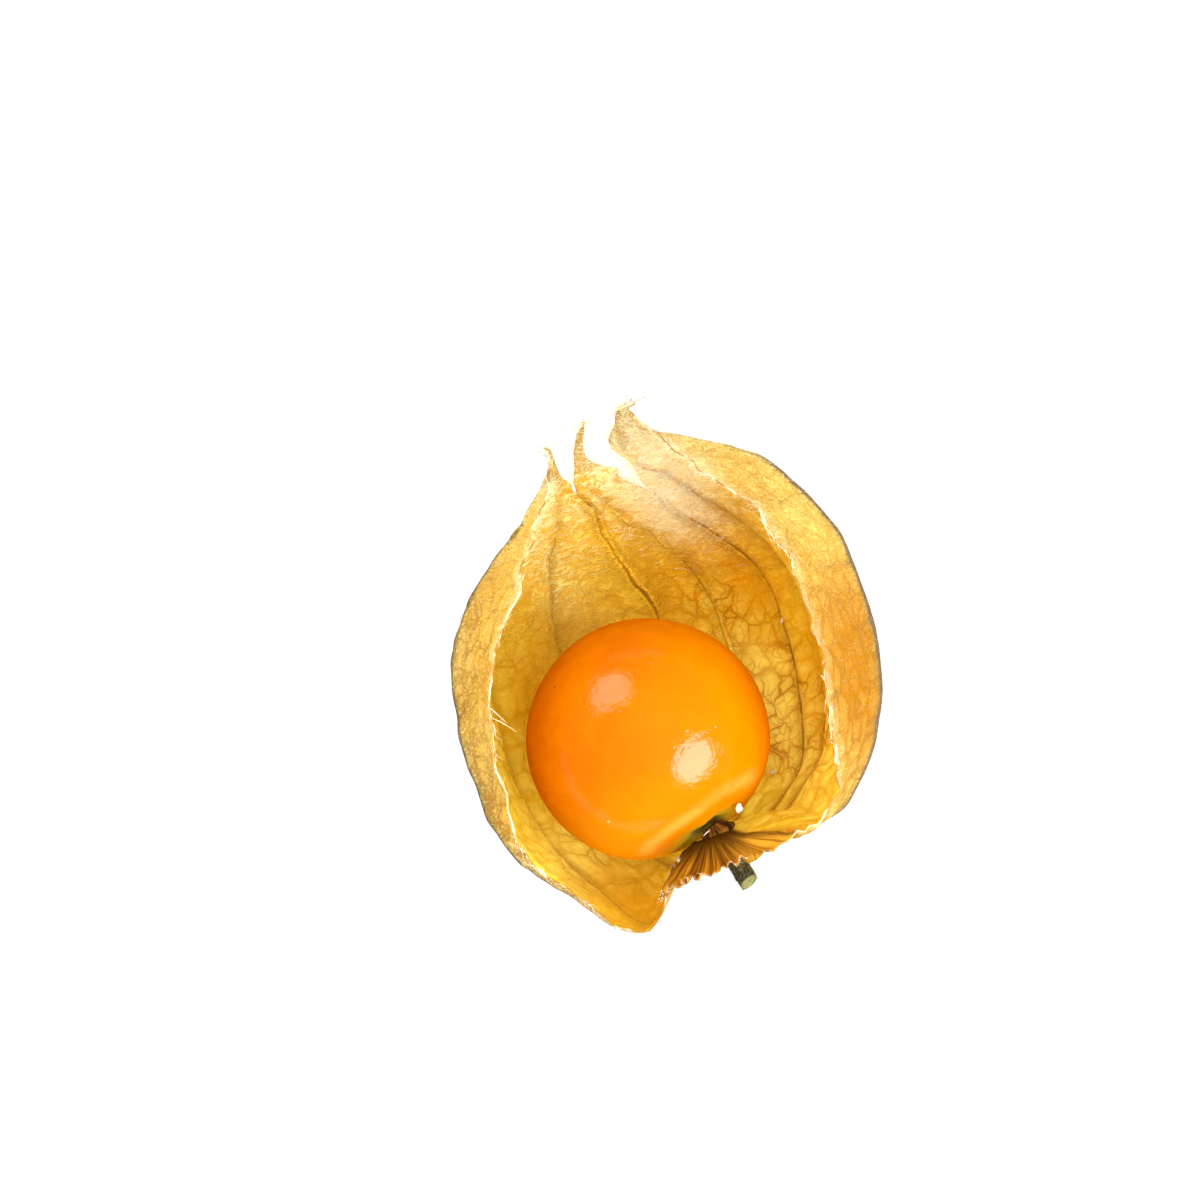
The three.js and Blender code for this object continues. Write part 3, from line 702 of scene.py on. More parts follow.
def husk_piece():
    """The skin with its relief. Returns its middle: points, normals, attributes and columns."""
    points, cells, attributes, forced, columns = build_husk()
    large, medium, small = vein_relief(points, cells, attributes["net"])
    share, rib_distance = attributes["share"], attributes["rib_distance"]
    weight = smooth(attributes["tip"][:len(forced), None], 0, 0.5)
    normals = sheet_normals(points, cells, forced, weight)

    # crumples between the ribs, deeper cells between the veins, curled edges
    calm = 1 - np.clip(attributes["tip"] * 1.6, 0, 1)
    free = calm * (1 - attributes["fan"])
    cell = 0.30 * (smooth(large, 0, 1.5) - 0.6) + 0.075 * (smooth(medium, 0, 0.5) - 0.5)
    cell = cell * smooth(share, 0.12, 0.3) * (1 - bell(rib_distance, 0.7))
    crumple = 0.16 * noise3(points, 3.1, 51) + 0.07 * noise3(points, 1.3, 52)
    folded = attributes["net"] * (0.32, 0.95, 1.0) + 0.5 * noise3(points, 2.2, 54)[:, None]
    crumple = crumple + 0.13 * noise3(folded, 1.0, 55) * smooth(share, 0.45, 0.8)
    curl = 0.22 * noise3(points, 1.1, 53) * bell(attributes["edge_distance"], 1.3) * calm
    moved = (cell + crumple * smooth(share, 0.1, 0.3)) * free + curl
    points = points + normals * moved[:, None]
    points[:, 2] = np.maximum(points[:, 2], SHEET_HALF + FLOOR_CLEARANCE)
    normals = sheet_normals(points, cells, forced, weight)

    ridge = 0.16 * bell(rib_distance, 0.24) * smooth(share, 0.13, 0.22) * calm
    outer = points + normals * (SHEET_HALF + ridge)[:, None]
    outer[:, 2] = np.maximum(outer[:, 2], FLOOR_CLEARANCE)
    # a rib is filled on the inside, other than the deep fold
    filled = 0.24 * bell(rib_distance, 0.5) * smooth(share, 0.15, 0.3) * calm
    filled = filled * (attributes["rib_number"] != FOLD_RIB)
    inner = points - normals * (SHEET_HALF + filled)[:, None]
    total = len(points)
    triangles = split_cells(points, cells)
    rim = open_edges(triangles, total)
    faces = np.vstack([
        triangles,
        triangles[:, ::-1] + total,
        np.stack([rim[:, 1], rim[:, 0], rim[:, 0] + total], 1),
        np.stack([rim[:, 1], rim[:, 0] + total, rim[:, 1] + total], 1),
    ])
    both = {key: np.concatenate([value, value]) for key, value in attributes.items()}
    both["inside"] = np.repeat([0, 1], total)
    used, faces = np.unique(faces, return_inverse=True)
    both = {key: value[used] for key, value in both.items()}
    piece = new_object("husk_skin", np.vstack([outer, inner])[used], faces.reshape(-1, 3).tolist(), both)
    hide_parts("husk")
    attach(piece, "root")
    piece.data.materials.append(husk_material())
    return points, normals, attributes, columns


def husk_material():
    material, n = new_material("husk_paper")
    place, net = n.place(), n.attribute("net", "Vector")
    large, medium, small = vein_distances(n, net)
    inside, fan, share, tip, laced, silver, pale, warm, painted_shade = map(n.attribute, (
        "inside", "fan", "share", "tip", "laced", "silver", "pale", "warm", "painted_shade"))
    edge, rib, rib_number, angle = map(n.attribute, ("edge_distance", "rib_distance", "rib_number", "angle"))
    outside = 1 - inside
    patchy, fine, grain = n.noise(place, 150, 3), n.noise(place, 900, 3), n.noise(place, 5200, 2)

    # silky creases that run across the panels, waved, strongest towards the tips; their ridges get painted
    # highlights and the furrows between them painted shade
    waved = n.vector("ADD", net, n.wander(net, 0.75, 1.5))
    coarse_crease, fine_crease = (
        n.ramp(n.math("PINGPONG", n.noise(n.vector("MULTIPLY", waved, stretch), 1) * lines, 0.5), 0.24, 0.04)
        for stretch, lines in (((0.42, 1.15, 1), 5), ((0.9, 2.3, 1), 4)))
    silky = n.largest(n.ramp(share, 0.5, 0.86, 0.1, 1), silver, pale * n.ramp(share, 0.45, 0.6))
    silky = silky * (inside * 0.6 + 0.4) * (1 - fan)
    creases = n.largest(coarse_crease, fine_crease * 0.6) * silky

    # plain tissue: paler outside, more golden inside, stained orange in places
    n.colour = n.mix(inside, n.mix(n.ramp(patchy, 0.38, 0.62), (0.37, 0.26, 0.03), (0.45, 0.36, 0.11)),
                   n.mix(n.ramp(patchy, 0.38, 0.62), (0.96, 0.50, 0.002), (0.98, 0.62, 0.008)))
    stain = warm * n.ramp(patchy + fine, 0.75, 1.15, 0.7, 1)
    unstained = stain * -0.9 + 1
    n.paint(stain, n.mix(inside, (0.42, 0.198, 0.0001), (0.92, 0.40, 0.001)))
    paling = n.largest(n.ramp(share, 0.55, 0.9) * 0.5, pale * 0.9)
    n.paint(paling * unstained, (0.97, 0.78, 0.18))
    dome = n.ramp(medium, 0.05, 0.45) * (n.ramp(fine, 0.3, 0.7, 0.1, 0.4) + laced * 0.6)
    n.paint(dome * unstained, n.mix(inside, (0.98, 0.82, 0.24), (1, 0.80, 0.11)))
    hollow = n.ramp(medium, 0.2, 0.03) * (laced * inside)
    n.paint(hollow * 0.25, (0.92, 0.45, 0.006))
    # painted shade in the furrows between the silky creases
    n.paint(n.largest((silky - creases) * 0.75, 0), (0.68, 0.29, 0.002))
    whiter = n.largest(n.ramp(share, 0.78, 1), pale * 0.8)
    # crease ridges: paler silky fibres with a painted highlight
    n.paint(creases * 0.9, n.mix(whiter, (0.92, 0.56, 0.012), (1, 0.90, 0.40)))
    speckle = n.ramp(grain, 0.45, 0.7, 0, 0.3) * (outside + 1) * unstained
    n.paint(speckle, n.mix(inside, (0.96, 0.84, 0.42), (1, 0.80, 0.12)))
    pepper = n.ramp(grain + fine * 0.6, 0.76, 0.58, 0, 0.55) * (outside * unstained)
    n.paint(pepper, (0.36, 0.235, 0.05))
    n.paint(n.ramp(tip, 0, 0.3, 0, 0.68), (0.52, 0.38, 0.15))
    n.paint(n.ramp(tip, 0.45, 0.9, 0, 0.75), (0.46, 0.28, 0.09))
    # the silver patch: whitish silk, with painted highlights on its creases
    silver_and_glint = silver * n.ramp(coarse_crease + (grain + fine), 0.8, 1.5, 0.4, 1)
    n.paint(silver_and_glint, (0.98, 0.96, 0.84))
    # painted shade on the low lip, beside the seam and on the wall next to the berry
    n.paint(painted_shade * n.ramp(fine, 0.3, 0.6, 0.6, 0.9), (0.60, 0.27, 0.008))

    # folds that gather towards the stalk
    streak_place = n.value(0, "CombineXYZ", {"X": angle, "Y": share * 8})
    streak = n.noise(streak_place, 0.42, 4, 0.62)
    gathered = n.ramp(share, 0.34, 0.17) * inside
    n.paint(gathered * n.ramp(streak, 0.46, 0.58, 0.05, 0.8), (0.70, 0.35, 0.01))

    # veins: finest where the net is laced, faint towards the tips, the stalk and the silver
    fading = n.ramp(share, 0.95, 0.68, 0.1, 1) * (1 - fan) * (gathered * -0.85 + 1) * (silver * -0.9 + 1)
    third = n.ramp(small, 0.06, 0) * (laced * 0.35 + 0.3)
    medium = medium + outside * 0.012 + laced * inside * 0.022
    second = n.ramp(medium, 0.085, 0.02) * (laced * 0.25 + 0.72)
    first = n.ramp(large, 0.09, 0.03) * 0.85
    uneven = n.ramp(n.noise(net, 0.5), 0.3, 0.65, 0.3, 1)
    lines = n.largest(third, second, first) * fading * uneven
    lines = lines * (1 - inside * n.ramp(laced, 0.05, 0.6, 0.72, 0))
    n.paint(lines, n.mix(inside, (0.34, 0.19, 0.04), (0.56, 0.19, 0.002)))

    # ribs: grey-purple and broad outside; inside, brown that is partly their colour and partly painted shade,
    # with painted shadow lines at the seam and the fold
    def on_rib(number):
        return n.math("COMPARE", rib_number, number)

    rib_place = rib + (grain * 0.3 - 0.15 + (fine * 0.2 - 0.1)) + on_rib(1) * 0.15
    rib_line = n.ramp(rib_place, 0.36, 0.16) * n.ramp(grain, 0.25, 0.55, 0.7, 1)
    rib_halo = n.ramp(rib_place, 0.9, 0.2) * 0.25
    rib_keep = n.ramp(share, 0.985, 0.80, 0.2, 1) * n.ramp(share, 0.10, 0.2)
    rib_out = n.largest(rib_line, rib_halo) * rib_keep
    rib_in = n.largest(n.ramp(rib_place, 0.2, 0.05) * 0.7,
                       n.ramp(rib_place, 0.8, 0.1) * n.ramp(share, 0.5, 0.75, 0.4, 0.12))
    rib_in = rib_in * rib_keep * (on_rib(5) * -0.7 + 1)
    n.paint(rib_out * outside, (0.12, 0.09, 0.065))
    # inside, a rib's brown is partly its own colour and partly painted shade along it
    n.paint(rib_in * inside, (0.70, 0.33, 0.012))
    # painted shadow lines in the seam and the deep fold
    seam = on_rib(SEAM_RIB) * n.ramp(share, 0.5, 0.65)
    fold_shadow = n.largest(seam, on_rib(FOLD_RIB) * n.ramp(share, 0.2, 0.35))
    fold_shadow = fold_shadow * n.ramp(rib_place, 0.11, 0.01, 0, 0.62)
    n.paint(fold_shadow * inside, (0.42, 0.19, 0.01))

    # the fan: brown, darkest at the stalk, streaked along its pleats
    fan_tone = n.mix(n.ramp(streak, 0.40, 0.60), (0.22, 0.072, 0.003), (0.70, 0.32, 0.018))
    lit = n.ramp(angle, 475, 405, 0, 0.85) * n.ramp(streak, 0.34, 0.6, 0.25, 1)
    fan_tone = n.mix(lit, fan_tone, (0.80, 0.44, 0.04))
    fan_tone = n.mix(n.ramp(n.noise(streak_place, 0.09), 0.55, 0.40, 0, 0.55), fan_tone, (0.16, 0.05, 0.005))
    fan_tone = n.mix(n.ramp(share, 0.10, 0, 0, 0.9), fan_tone, (0.07, 0.022, 0.003))
    n.paint(fan, fan_tone)

    # torn edges dry out whitish, in stretches, with a pale band beside them on the outside
    stretches = n.ramp(n.noise(place, 300, 3), 0.49, 0.56)
    torn = n.ramp(edge - (fine * 0.7 - 0.2), 0.10, 0) * stretches * (1 - fan * 0.85)
    band = n.ramp(edge, 1.7, 0.1, 0, 0.75) * n.ramp(grain + fine, 0.8, 1.2, 0.25, 1)
    band = band * outside * (1 - fan) * (stain * -0.6 + 1)
    n.paint(band, (0.92, 0.82, 0.55))
    # painted shade on the rim between the dried whitish stretches
    rim_shade = n.ramp(edge, 0.12, 0.02, 0, 0.85) * (1 - stretches)
    n.paint(rim_shade, (0.34, 0.18, 0.03))
    n.paint(torn * 0.85, (0.96, 0.90, 0.70))

    # fine relief: veins, silky creases, paper grain, the fan's streaks
    height = lines * 0.6 + grain * 0.3 + fine * 0.6 + creases * 1.6 + streak * (fan * 2.5)
    bump = n.bump(height, 0.8, 0.00013)
    skin = n.skin(Base_Color=n.colour, Roughness=n.ramp(fine, 0.3, 0.7, 0.42, 0.6), IOR=1.42,
                  Specular_IOR_Level=0, Normal=bump)
    # light crosses two skins on its way through, so each takes about the root of the tint
    tint = n.value(0, "Gamma", {"Color": n.colour, "Gamma": 0.6})
    through = n.value(0, "BsdfTranslucent", {"Color": tint, "Normal": bump})
    dense = n.largest(lines * 0.6, rib_out, rib_in, fan * 0.45)
    n.show(n.value(0, "MixShader", {0: (1 - dense * 0.5) * 0.68, 1: skin, 2: through}))
    return material


# -------- the berry
def berry_piece():
    directions, faces = ball(150, 110)
    from_stem = np.degrees(np.arccos(np.clip(directions[:, 2], -1, 1)))
    around = np.arctan2(directions[:, 1], directions[:, 0])
    radius = BERRY_RADIUS - 0.03 - sum(depth * bell(from_stem, spread) for depth, spread in STEM_DIMPLE)
    radius = radius - 0.10 * bell(from_stem, 38) * np.cos(5 * around) + 0.05 * noise3(directions, 0.55, 61)
    turn_to = np.array(Vector((0, 0, 1)).rotation_difference(Vector(unit(BERRY_STEM_END))).to_matrix())
    points = BERRY_CENTRE + (directions * radius[:, None]) @ turn_to.T
    piece = new_object("berry_skin", points, faces, {"from_stem": from_stem})
    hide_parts("berry")
    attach(piece, "root")
    piece.data.materials.append(berry_material())


def berry_material():
    material, n = new_material("berry_skin")
    place, from_stem = n.place(), n.attribute("from_stem")
    height_up = n.value(2, "SeparateXYZ", {0: place})
    soft, mottle, fine = n.noise(place, 110), n.noise(place, 700, 3), n.noise(place, 2600)

    # orange, painted lighter on its right side where the light falls and lighter round the stem end, with a
    # painted sheen band near the stem end
    n.colour = n.mix(n.ramp(soft, 0.35, 0.65), (0.35, 0.074, 0.0001), (0.40, 0.093, 0.0001))
    across = n.value(1, "VectorMath", {0: place, 1: IMAGE_RIGHT}, operation="DOT_PRODUCT")
    # painted light: the side towards the image's right is lighter
    lit_right = n.ramp(across + (soft * 0.004 - 0.002), -0.006, 0.009, 0, 0.8)
    n.paint(n.largest(lit_right, n.ramp(from_stem, 85, 50, 0, 0.6)), (0.48, 0.150, 0.0001))
    n.paint(n.ramp(mottle, 0.4, 0.75, 0, 0.15), (0.64, 0.17, 0.002))
    # painted sheen: a band of reflected light round the stem end, on the upper side
    around_stem = n.math("ABSOLUTE", from_stem + (soft * 10 - 5) - 36, 0)
    painted_sheen = n.ramp(around_stem, 7, 0, 0, 0.36) * n.ramp(height_up, 0.0135, 0.0165)
    n.paint(painted_sheen * n.ramp(mottle, 0.3, 0.6, 0.5, 1), (0.66, 0.33, 0.06))
    # pale specks, painted as small glints on the skin
    glint_specks, random = n.dots(place, 420, 0.07, 0.03)
    n.paint(glint_specks * (n.ramp(random, 0.80, 0.83) * 0.55), (0.95, 0.55, 0.15))
    for mark, size, depth in BERRY_MARKS:
        away = n.value(1, "VectorMath", {0: place, 1: in_row(*mark)}, operation="DISTANCE")
        away = away + mottle * (size * MM * 0.8)
        n.paint(n.ramp(away, size * MM * 1.5, size * MM * 1.1, 0, depth), (0.06, 0.02, 0.005))
    ring_place = from_stem + (soft * 9 - 4.5)
    n.paint(n.ramp(ring_place, 27, 14, 0, 0.75), (0.42, 0.30, 0.012))
    n.paint(n.ramp(ring_place, 15, 8, 0, 0.85), (0.06, 0.05, 0.012))

    # pores in the skin, and peel and beads of moisture in the wax over it
    pores = n.dots(place, 620, 0.16, 0.05)[0]
    bump = n.bump(fine * 0.35 + mottle * 0.8 + pores * 0.5, 0.6, 0.0001)
    peel = n.noise(place, 6500, 2, 0.7) * n.ramp(mottle, 0.35, 0.65, 0.25, 1)
    beads, random = n.dots(place, 2100, 0.28, 0)
    peel = n.bump(beads * n.ramp(random, 0.55, 0.6) * 0.9 + peel, 0.8, 0.000016, Normal=bump)
    wax = n.ramp(height_up, 0.0174, 0.0191, 0.03, 1)      # duller below, where the husk doesn't rub it
    n.show(n.skin(
        Base_Color=n.colour, Roughness=0.5, IOR=1.4, Specular_IOR_Level=0, Subsurface_Weight=0.25,
        Subsurface_Radius=(0.0022, 0.0008, 0.0002), Subsurface_Scale=1, Coat_Weight=wax,
        Coat_Roughness=0.10, Coat_IOR=1.5, Normal=bump, Coat_Normal=peel))
    return material


# -------- the stalk
STALK_BACK = np.array([math.sin(STALK_TURN), -math.cos(STALK_TURN), 0])
STALK_SIDE = np.array([-STALK_BACK[1], STALK_BACK[0], 0])
UP = np.array([0, 0, 1.0])


def stalk_piece():
    rings, sides = 70, 48
    a, g = np.meshgrid(np.linspace(0, STALK_LENGTH, rings),
                       np.linspace(0, 2 * math.pi, sides, endpoint=False), indexing="ij")
    folds = 0.09 * np.cos(12 * g + 1.3 * np.sin(2 * g)) * (1 - smooth(a, 0.9, 1.3))
    lobes = 0.035 * np.cos(5 * g + 0.4) + 0.02 * np.cos(9 * g + 2 * np.sin(a))
    radius = STALK_RADIUS * curve_through(STALK_PROFILE)(a) * (1 + lobes + folds)
    radius = radius + 0.05 * noise3(np.stack([radius * np.cos(g), radius * np.sin(g), a], -1), 0.5, 71)
    end_tilt = (0.1 * np.cos(g) + 0.4 * (1 + np.sin(g))) * smooth(a, 3.5, STALK_LENGTH)
    bark = STALK_START + (a - end_tilt)[..., None] * STALK_BACK
    bark = bark + (radius * np.cos(g))[..., None] * STALK_SIDE + (radius * np.sin(g))[..., None] * UP
    # the cut end: a rim, a slightly hollow pith
    end, middle = bark[-1], bark[-1].mean(0)
    *cut, centre = (middle + (end - middle) * share - STALK_BACK * dip for share, dip in STALK_CUT)
    points = np.vstack([*bark, *cut, centre[0], bark[0].mean(0)])
    last, tip = len(points) - 2 - sides, len(points) - 2
    faces = [(a, d, c, b) for a, b, c, d in strip_faces(rings + len(cut) - 1, sides)]
    for k in range(sides):
        after = (k + 1) % sides
        faces += [(last + k, last + after, tip), (after, k, tip + 1)]
    on_cut, from_centre = np.zeros(len(points)), np.ones(len(points))
    on_cut[rings * sides:-1] = 1
    from_centre[rings * sides:-2] = np.repeat([share for share, dip in STALK_CUT[:-1]], sides)
    from_centre[-2:] = 0
    away = points - STALK_START
    ray = unit(away - np.outer(away @ STALK_BACK, STALK_BACK))
    piece = new_object("stalk_skin", points, faces, {
        "cut": on_cut, "from_centre": from_centre, "collar": 1 - smooth(away @ STALK_BACK, 1.0, 1.5),
        "ray": np.stack([ray @ STALK_SIDE, ray @ UP, 0.1 * (away @ STALK_BACK)], -1)})
    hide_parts("stalk")
    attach(piece, "root")
    piece.data.materials.append(stalk_material())


def stalk_material():
    material, n = new_material("stalk_bark")
    place = n.place()
    coarse = n.noise(place, 900, 3)
    long_grain = n.noise(n.vector("MULTIPLY", place, (3, 0.5, 3)), 1500, 3)
    bark = n.mix(n.ramp(coarse, 0.35, 0.65), (0.010, 0.008, 0.003), (0.045, 0.034, 0.010))
    bark = n.mix(n.ramp(long_grain, 0.5, 0.75, 0, 0.6), bark, (0.14, 0.115, 0.045))
    pith = n.mix(n.ramp(n.attribute("from_centre"), 0.75, 0.95), (0.15, 0.15, 0.045), (0.07, 0.06, 0.016))
    pith = n.mix(n.ramp(coarse, 0.4, 0.7, 0, 0.5), pith, (0.25, 0.24, 0.11))
    folds = n.ramp(n.noise(n.attribute("ray", "Vector"), 3.6, 3, 0.6), 0.42, 0.6)
    colour = n.mix(n.attribute("cut"), bark, pith)
    colour = n.mix(n.attribute("collar"), colour, n.mix(folds, (0.025, 0.009, 0.002), (0.17, 0.062, 0.006)))
    bump = n.bump(coarse * 0.6 + long_grain, 0.8, 0.0001)
    n.show(n.skin(Base_Color=colour, Roughness=0.8, Specular_IOR_Level=0.1, Normal=bump))
    return material


# -------- hairs and fibres
def hair_material(name, dark, light):
    material, n = new_material(name)
    tone = n.attribute("tone") + (n.noise(n.place(), 3000) * 0.4 - 0.2)
    n.show(n.skin(Base_Color=n.mix(tone, dark, light), Roughness=0.5, Specular_IOR_Level=0.3))
    return material


def strands(name, slot, rng, roots, directions, bends, lengths, radii, tone, tones):
    """Hairs as thin three-sided spikes in one mesh, which leave their roots and bend sideways.

    Lengths, radii and tone are values for the hairs or a pair of limits to draw them between.
    """
    count = len(roots)
    lengths, radii, tone = (
        rng.uniform(*value, count) if isinstance(value, tuple) else value for value in (lengths, radii, tone))
    reference = np.where(np.abs(directions[:, 2:]) < 0.8, [[0.0, 0.0, 1.0]], [[1.0, 0.0, 0.0]])
    a = unit(np.cross(directions, reference))
    b = np.cross(directions, a)
    rings = []
    for share, thick in ((0.0, 1.0), (0.38, 0.8), (0.74, 0.5)):
        middle = roots + (directions * share + bends * share ** 2) * lengths[:, None]
        for k in range(3):
            turn = 2 * math.pi * k / 3
            rings.append(middle + (a * math.cos(turn) + b * math.sin(turn)) * (radii * thick)[:, None])
    rings.append(roots + (directions + bends) * lengths[:, None])
    points = np.stack(rings, 1)
    points[..., 2] = np.maximum(points[..., 2], 0.01)
    faces = [(2, 1, 0)]
    for ring in (0, 3):
        faces += [(ring + k, ring + (k + 1) % 3, ring + 3 + (k + 1) % 3) for k in range(3)]
        faces += [(ring + k, ring + 3 + (k + 1) % 3, ring + 3 + k) for k in range(3)]
    faces += [(6 + k, 6 + (k + 1) % 3, 9) for k in range(3)]
    faces = (np.array(faces) + 10 * np.arange(count)[:, None, None]).reshape(-1, 3)
    piece = new_object(name, points.reshape(-1, 3), faces.tolist(), {"tone": np.repeat(tone, 10)})
    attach(piece, "root")
    piece.data.materials.append(hair_material(name, *tones))


def husk_hairs(points, normals, attributes, columns):
    base, side, rows = columns
    n = len(base)
    count = n * rows
    grid = points[:count].reshape(n, rows, 3)
    middles = np.array([grid[(base > tip["from"]) & (base < tip["to"])].mean(0) for tip in TIPS])
    over, down = np.gradient(grid, axis=0), np.gradient(grid, axis=1)
    across, along = unit(over).reshape(-1, 3), unit(down).reshape(-1, 3)
    spread, step = (np.linalg.norm(way, axis=2).ravel() for way in (over, down))
    data = {key: value[:count] for key, value in attributes.items()}
    share, tips = data["share"], data["tip"]
    normals, grid = normals[:count], grid.reshape(-1, 3)
    rng = np.random.default_rng(7)

    def pick(weight, number):
        weight = np.where(share > 0.13, weight * spread * step, 0)
        at = rng.choice(count, number, p=weight / weight.sum())
        moved = (across[at] * (rng.uniform(-0.5, 0.5, number) * spread[at])[:, None]
                 + along[at] * (rng.uniform(-0.5, 0.5, number) * step[at])[:, None])
        return at, grid[at] + moved

    def wild(number, size):
        return rng.normal(0, size, (number, 3))

    def column(values):
        return np.asarray(values)[:, None]

    # velvet on the ribs, short down all over the outside
    at, place = pick(bell(data["rib_distance"], 0.22) * (1 - 0.8 * data["fan"]), VELVET_HAIRS)
    strands("rib_velvet", "husk", rng, place + normals[at] * (SHEET_HALF + 0.1),
            unit(normals[at] + wild(len(at), 0.5)), wild(len(at), 0.25),
            (0.12, 0.34), (0.010, 0.017), (0, 1), ((0.16, 0.125, 0.09), (0.62, 0.52, 0.38)))
    plain = (0.25 + smooth(share, 0.6, 0.9)) * (1 - tips) * (1 - 0.85 * data["warm"])
    at, place = pick(plain, DOWN_HAIRS)
    strands("outer_down", "husk", rng, place + normals[at] * SHEET_HALF,
            unit(normals[at] * 0.6 + wild(len(at), 0.6)), wild(len(at), 0.3),
            (0.08, 0.28), (0.008, 0.013), (0, 1), ((0.78, 0.58, 0.17), (0.93, 0.82, 0.48)))

    # silky fibres that lie across the inside of the tips
    at, place = pick(smooth(share, 0.72, 0.95) + 2.5 * data["silver"], SILK_FIBRES)
    flat = across[at] * column(np.where(rng.random(len(at)) < 0.5, 1, -1))
    flat = flat + along[at] * column(rng.normal(0, 0.45, len(at)))
    sideways = along[at] * column(rng.normal(0, 0.5, len(at)))
    sideways = sideways - normals[at] * column(rng.uniform(-0.02, 0.12, len(at)))
    strands("inner_silk", "husk", rng, place - normals[at] * (SHEET_HALF + 0.005),
            unit(flat - normals[at] * 0.06), sideways,
            rng.uniform(0.35, 1.3, len(at)) * (0.6 + 0.4 * (tips[at] < 0.3)), (0.010, 0.018), (0, 1),
            ((0.95, 0.76, 0.28), (1, 0.95, 0.72)))

    # hairs on the free edges of the tips
    number, row = np.divmod(np.arange(count), rows)
    border = (number == 0) | (number == n - 1)
    free = (tips > 0.02) & (border | (side[number] != 0))
    at = rng.choice(np.nonzero(free)[0], TIP_FIBRES)
    tip = np.searchsorted([tip["to"] for tip in TIPS], base[number[at]])
    out = unit(grid[at] - middles[tip, row[at]])
    tip_ways = unit(out * 0.9 + along[at] * column(rng.uniform(-0.2, 0.9, len(at))) + wild(len(at), 0.35))
    tip_lengths = rng.uniform(0.06, 0.22, len(at))
    # fibres frayed out of the torn edges, in clusters
    torn = np.nonzero(border & (tips <= 0.02) & (share > 0.2))[0]
    weight = np.clip(noise3(grid[torn], 2.2, 91), 0.004, 1)
    torn = rng.choice(torn, TORN_FIBRES, p=weight / weight.sum())
    out = across[torn] * column(np.where(number[torn] == 0, -1, 1))
    lengthwise = along[torn] * column(np.where(rng.random(len(torn)) < 0.5, 1, -1))
    torn_ways = unit(out * column(rng.uniform(0.05, 0.7, len(torn))) + lengthwise + wild(len(torn), 0.15))
    torn_lengths = rng.uniform(0.2, 0.9, len(torn)) * np.where(rng.random(len(torn)) < 0.08, 2, 1)
    radii = rng.uniform(0.010, 0.019, len(at) + len(torn))
    fibres = [(grid[np.append(at, torn)], np.vstack([tip_ways, torn_ways]), wild(len(radii), 0.22),
               np.append(tip_lengths, torn_lengths), radii)]
    # fibres on the fan's rim
    fan = points[count:].reshape(-1, RING_ROWS + 1, 3)
    fan = fan[rng.choice(len(fan), RIM_FIBRES)]
    radial = unit(fan[:, -1] - fan[:, -2])
    fibres.append((fan[:, -1], unit(radial + wild(len(fan), 0.4)), wild(len(fan), 0.25),
                   rng.uniform(0.1, 0.38, len(fan)), rng.uniform(0.010, 0.016, len(fan))))
    # two longer fibres that hang loose from the left edge
    left = grid[(number == 0) & (tips <= 0.02)]
    for x, y, way, length in LOOSE_FIBRES:
        root = left[np.argmin(np.linalg.norm(left[:, :2] - (x, y), axis=1))]
        fibres.append(([root], [unit(np.array(way))], [(0.1, -0.35, 0.1)], [length], [0.04]))
    strands("edge_fibres", "husk", rng, *(np.concatenate(values) for values in zip(*fibres)), (0.3, 1),
            ((0.78, 0.58, 0.26), (0.98, 0.90, 0.70)))


def stalk_hairs():
    rng = np.random.default_rng(9)
    count = FUZZ_HAIRS
    along = rng.uniform(1.3, STALK_LENGTH - 0.05, count)
    turn = rng.uniform(0, 2 * math.pi, count)
    out = np.outer(np.cos(turn), STALK_SIDE) + np.outer(np.sin(turn), UP)
    roots = STALK_START + np.outer(along, STALK_BACK) + out * STALK_RADIUS * 0.86
    strands("stalk_fuzz", "stalk", rng, roots, unit(out + rng.normal(0, 0.4, (count, 3))),
            rng.normal(0, 0.3, (count, 3)), (0.12, 0.32), (0.010, 0.016), (0, 1),
            ((0.08, 0.07, 0.025), (0.32, 0.28, 0.15)))


def white_specks_and_glints(points):
    """Small white flecks: three between the berry and the fan, two on the inside of the wall; most are dried
    fluff, the thin one by the collar and the long one on the wall are painted highlights for glints.
    """
    shape, shape_faces = ball(14, 9)
    low = points[points[:, 2] < 12.5]
    vertices, faces = [], []
    for x, y, z, length, width, turn in WHITE_SPECKS_AND_GLINTS:
        if z is None:
            z = low[np.argmin(np.linalg.norm(low[:, :2] - (x, y), axis=1)), 2] + 0.1
        lumpy = shape * (1 + 0.4 * noise3(shape + x, 0.8, 81))[:, None] * (length, width, width)
        faces += [tuple(i + len(vertices) * len(shape) for i in face) for face in shape_faces]
        vertices.append(np.stack([*turned(lumpy[:, 0], lumpy[:, 1], turn), lumpy[:, 2]], -1) + (x, y, z))
    vertices = np.vstack(vertices)
    piece = new_object("white_specks_and_glints", vertices, faces, {"tone": np.ones(len(vertices))})
    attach(piece, "root")
    piece.data.materials.append(hair_material("white_specks_and_glints", (0.46, 0.45, 0.40), (0.62, 0.60, 0.54)))


# -------- stage, lights and camera
IMAGE_RIGHT = Vector((0.9455, -0.3256, 0.0))
IMAGE_UP = Vector((0.3256, 0.9455, 0.0))
CAMERA_HEIGHT = 450.0
VIEW_CENTRE = (-2.3, 19.3)
VIEW_WIDTH = 90.6                             # millimetres across the picture, at mid height
MIDDLE_HEIGHT = 12.5
SENSOR_WIDTH = 36
FLOOR_HALF = 1.5                              # metres
LIGHT_DISTANCE = 0.4                          # metres


def in_row(x, y, z):
    return Vector(((x - ROW_ORIGIN[0]) * MM, (y - ROW_ORIGIN[1]) * MM, z * MM))


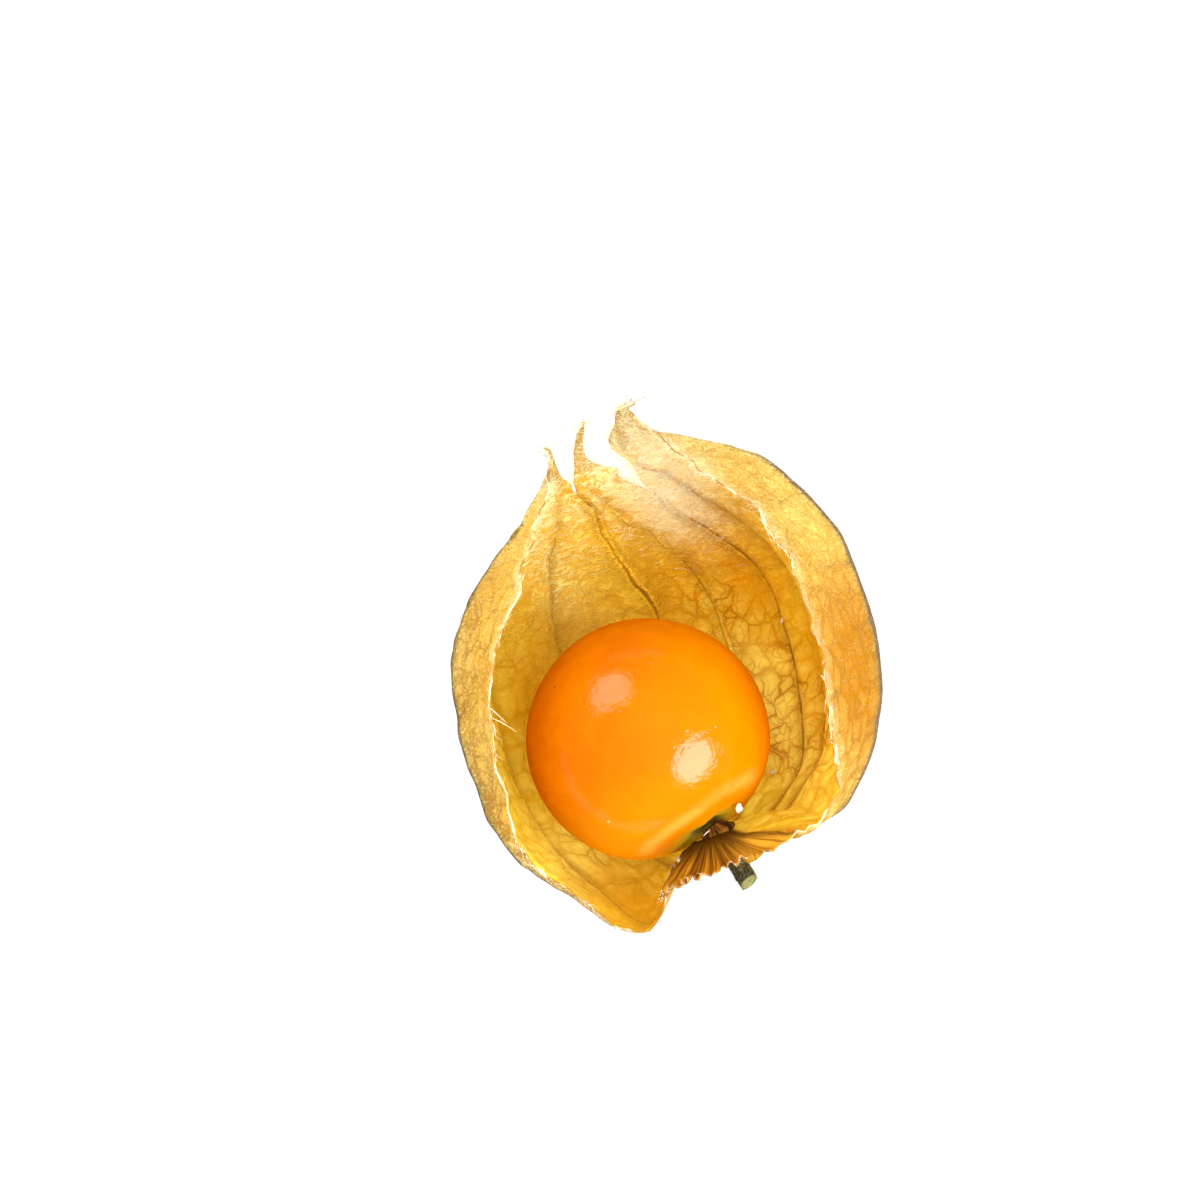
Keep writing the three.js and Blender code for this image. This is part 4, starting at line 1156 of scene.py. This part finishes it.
def stage_and_camera():
    mesh = bpy.data.meshes.new("floor")
    corners = [(FLOOR_HALF * x, FLOOR_HALF * y, 0) for x, y in ((-1, -1), (1, -1), (1, 1), (-1, 1))]
    mesh.from_pydata(corners, [], [(0, 1, 2, 3)])
    material, n = new_material("white_table")
    n.show(n.skin(Base_Color=(0.2, 0.2, 0.2, 1), Roughness=0.6, Specular_IOR_Level=0.2,
                  Emission_Color=(1, 0.985, 0.96, 1), Emission_Strength=0.77))
    mesh.materials.append(material)
    floor = link("floor", mesh)

    camera = bpy.data.cameras.new("camera")
    camera.sensor_width = SENSOR_WIDTH
    camera.lens = SENSOR_WIDTH * (CAMERA_HEIGHT - MIDDLE_HEIGHT) / VIEW_WIDTH
    camera.clip_start = 0.01
    holder = link("camera", camera)
    turn = Matrix((IMAGE_RIGHT, IMAGE_UP, Vector((0, 0, 1)))).transposed().to_4x4()
    holder.matrix_world = Matrix.Translation(in_row(*VIEW_CENTRE, CAMERA_HEIGHT)) @ turn
    bpy.context.scene.camera = holder


def softbox(name, right, up, towards, width, radiance):
    """A round soft light that is seen from the berry under the given angle."""
    direction = (IMAGE_RIGHT * right + IMAGE_UP * up + Vector((0, 0, 1)) * towards).normalized()
    light = bpy.data.lights.new(name, "AREA")
    light.shape = "DISK"
    light.size = 2 * LIGHT_DISTANCE * math.tan(math.radians(width / 2))
    light.energy = radiance * math.pi * math.pi * light.size ** 2 / 4
    holder = link(name, light)
    holder.location = in_row(*BERRY_CENTRE) + direction * LIGHT_DISTANCE
    holder.rotation_euler = direction.to_track_quat("Z", "Y").to_euler()


def lights():
    softbox("key", 0.70, -0.298, 0.649, 41, 8.6)
    softbox("second", -0.533, 0.703, 0.469, 36, 3.0)
    # soft light from above, for the inside of the husk
    fill = bpy.data.lights.new("fill", "SUN")
    fill.energy = 3.0
    fill.angle = math.radians(70)
    link("fill", fill).visible_glossy = False
    world = bpy.data.worlds.new("studio")
    world.use_nodes = True
    background = world.node_tree.nodes["Background"]
    background.inputs["Color"].default_value = (1.0, 0.99, 0.97, 1)
    background.inputs["Strength"].default_value = 1.8
    world.cycles_visibility.glossy = False
    scene = bpy.context.scene
    scene.world = world
    scene.view_settings.view_transform = "Standard"
    scene.view_settings.look = "None"
    scene.view_settings.exposure = 0.0
    scene.cycles.max_bounces = 8
    scene.cycles.diffuse_bounces = 6


# -------- put together
stage_and_camera()
lights()
sheet = husk_piece()
berry_piece()
stalk_piece()
husk_hairs(*sheet)
white_specks_and_glints(sheet[0])
stalk_hairs()
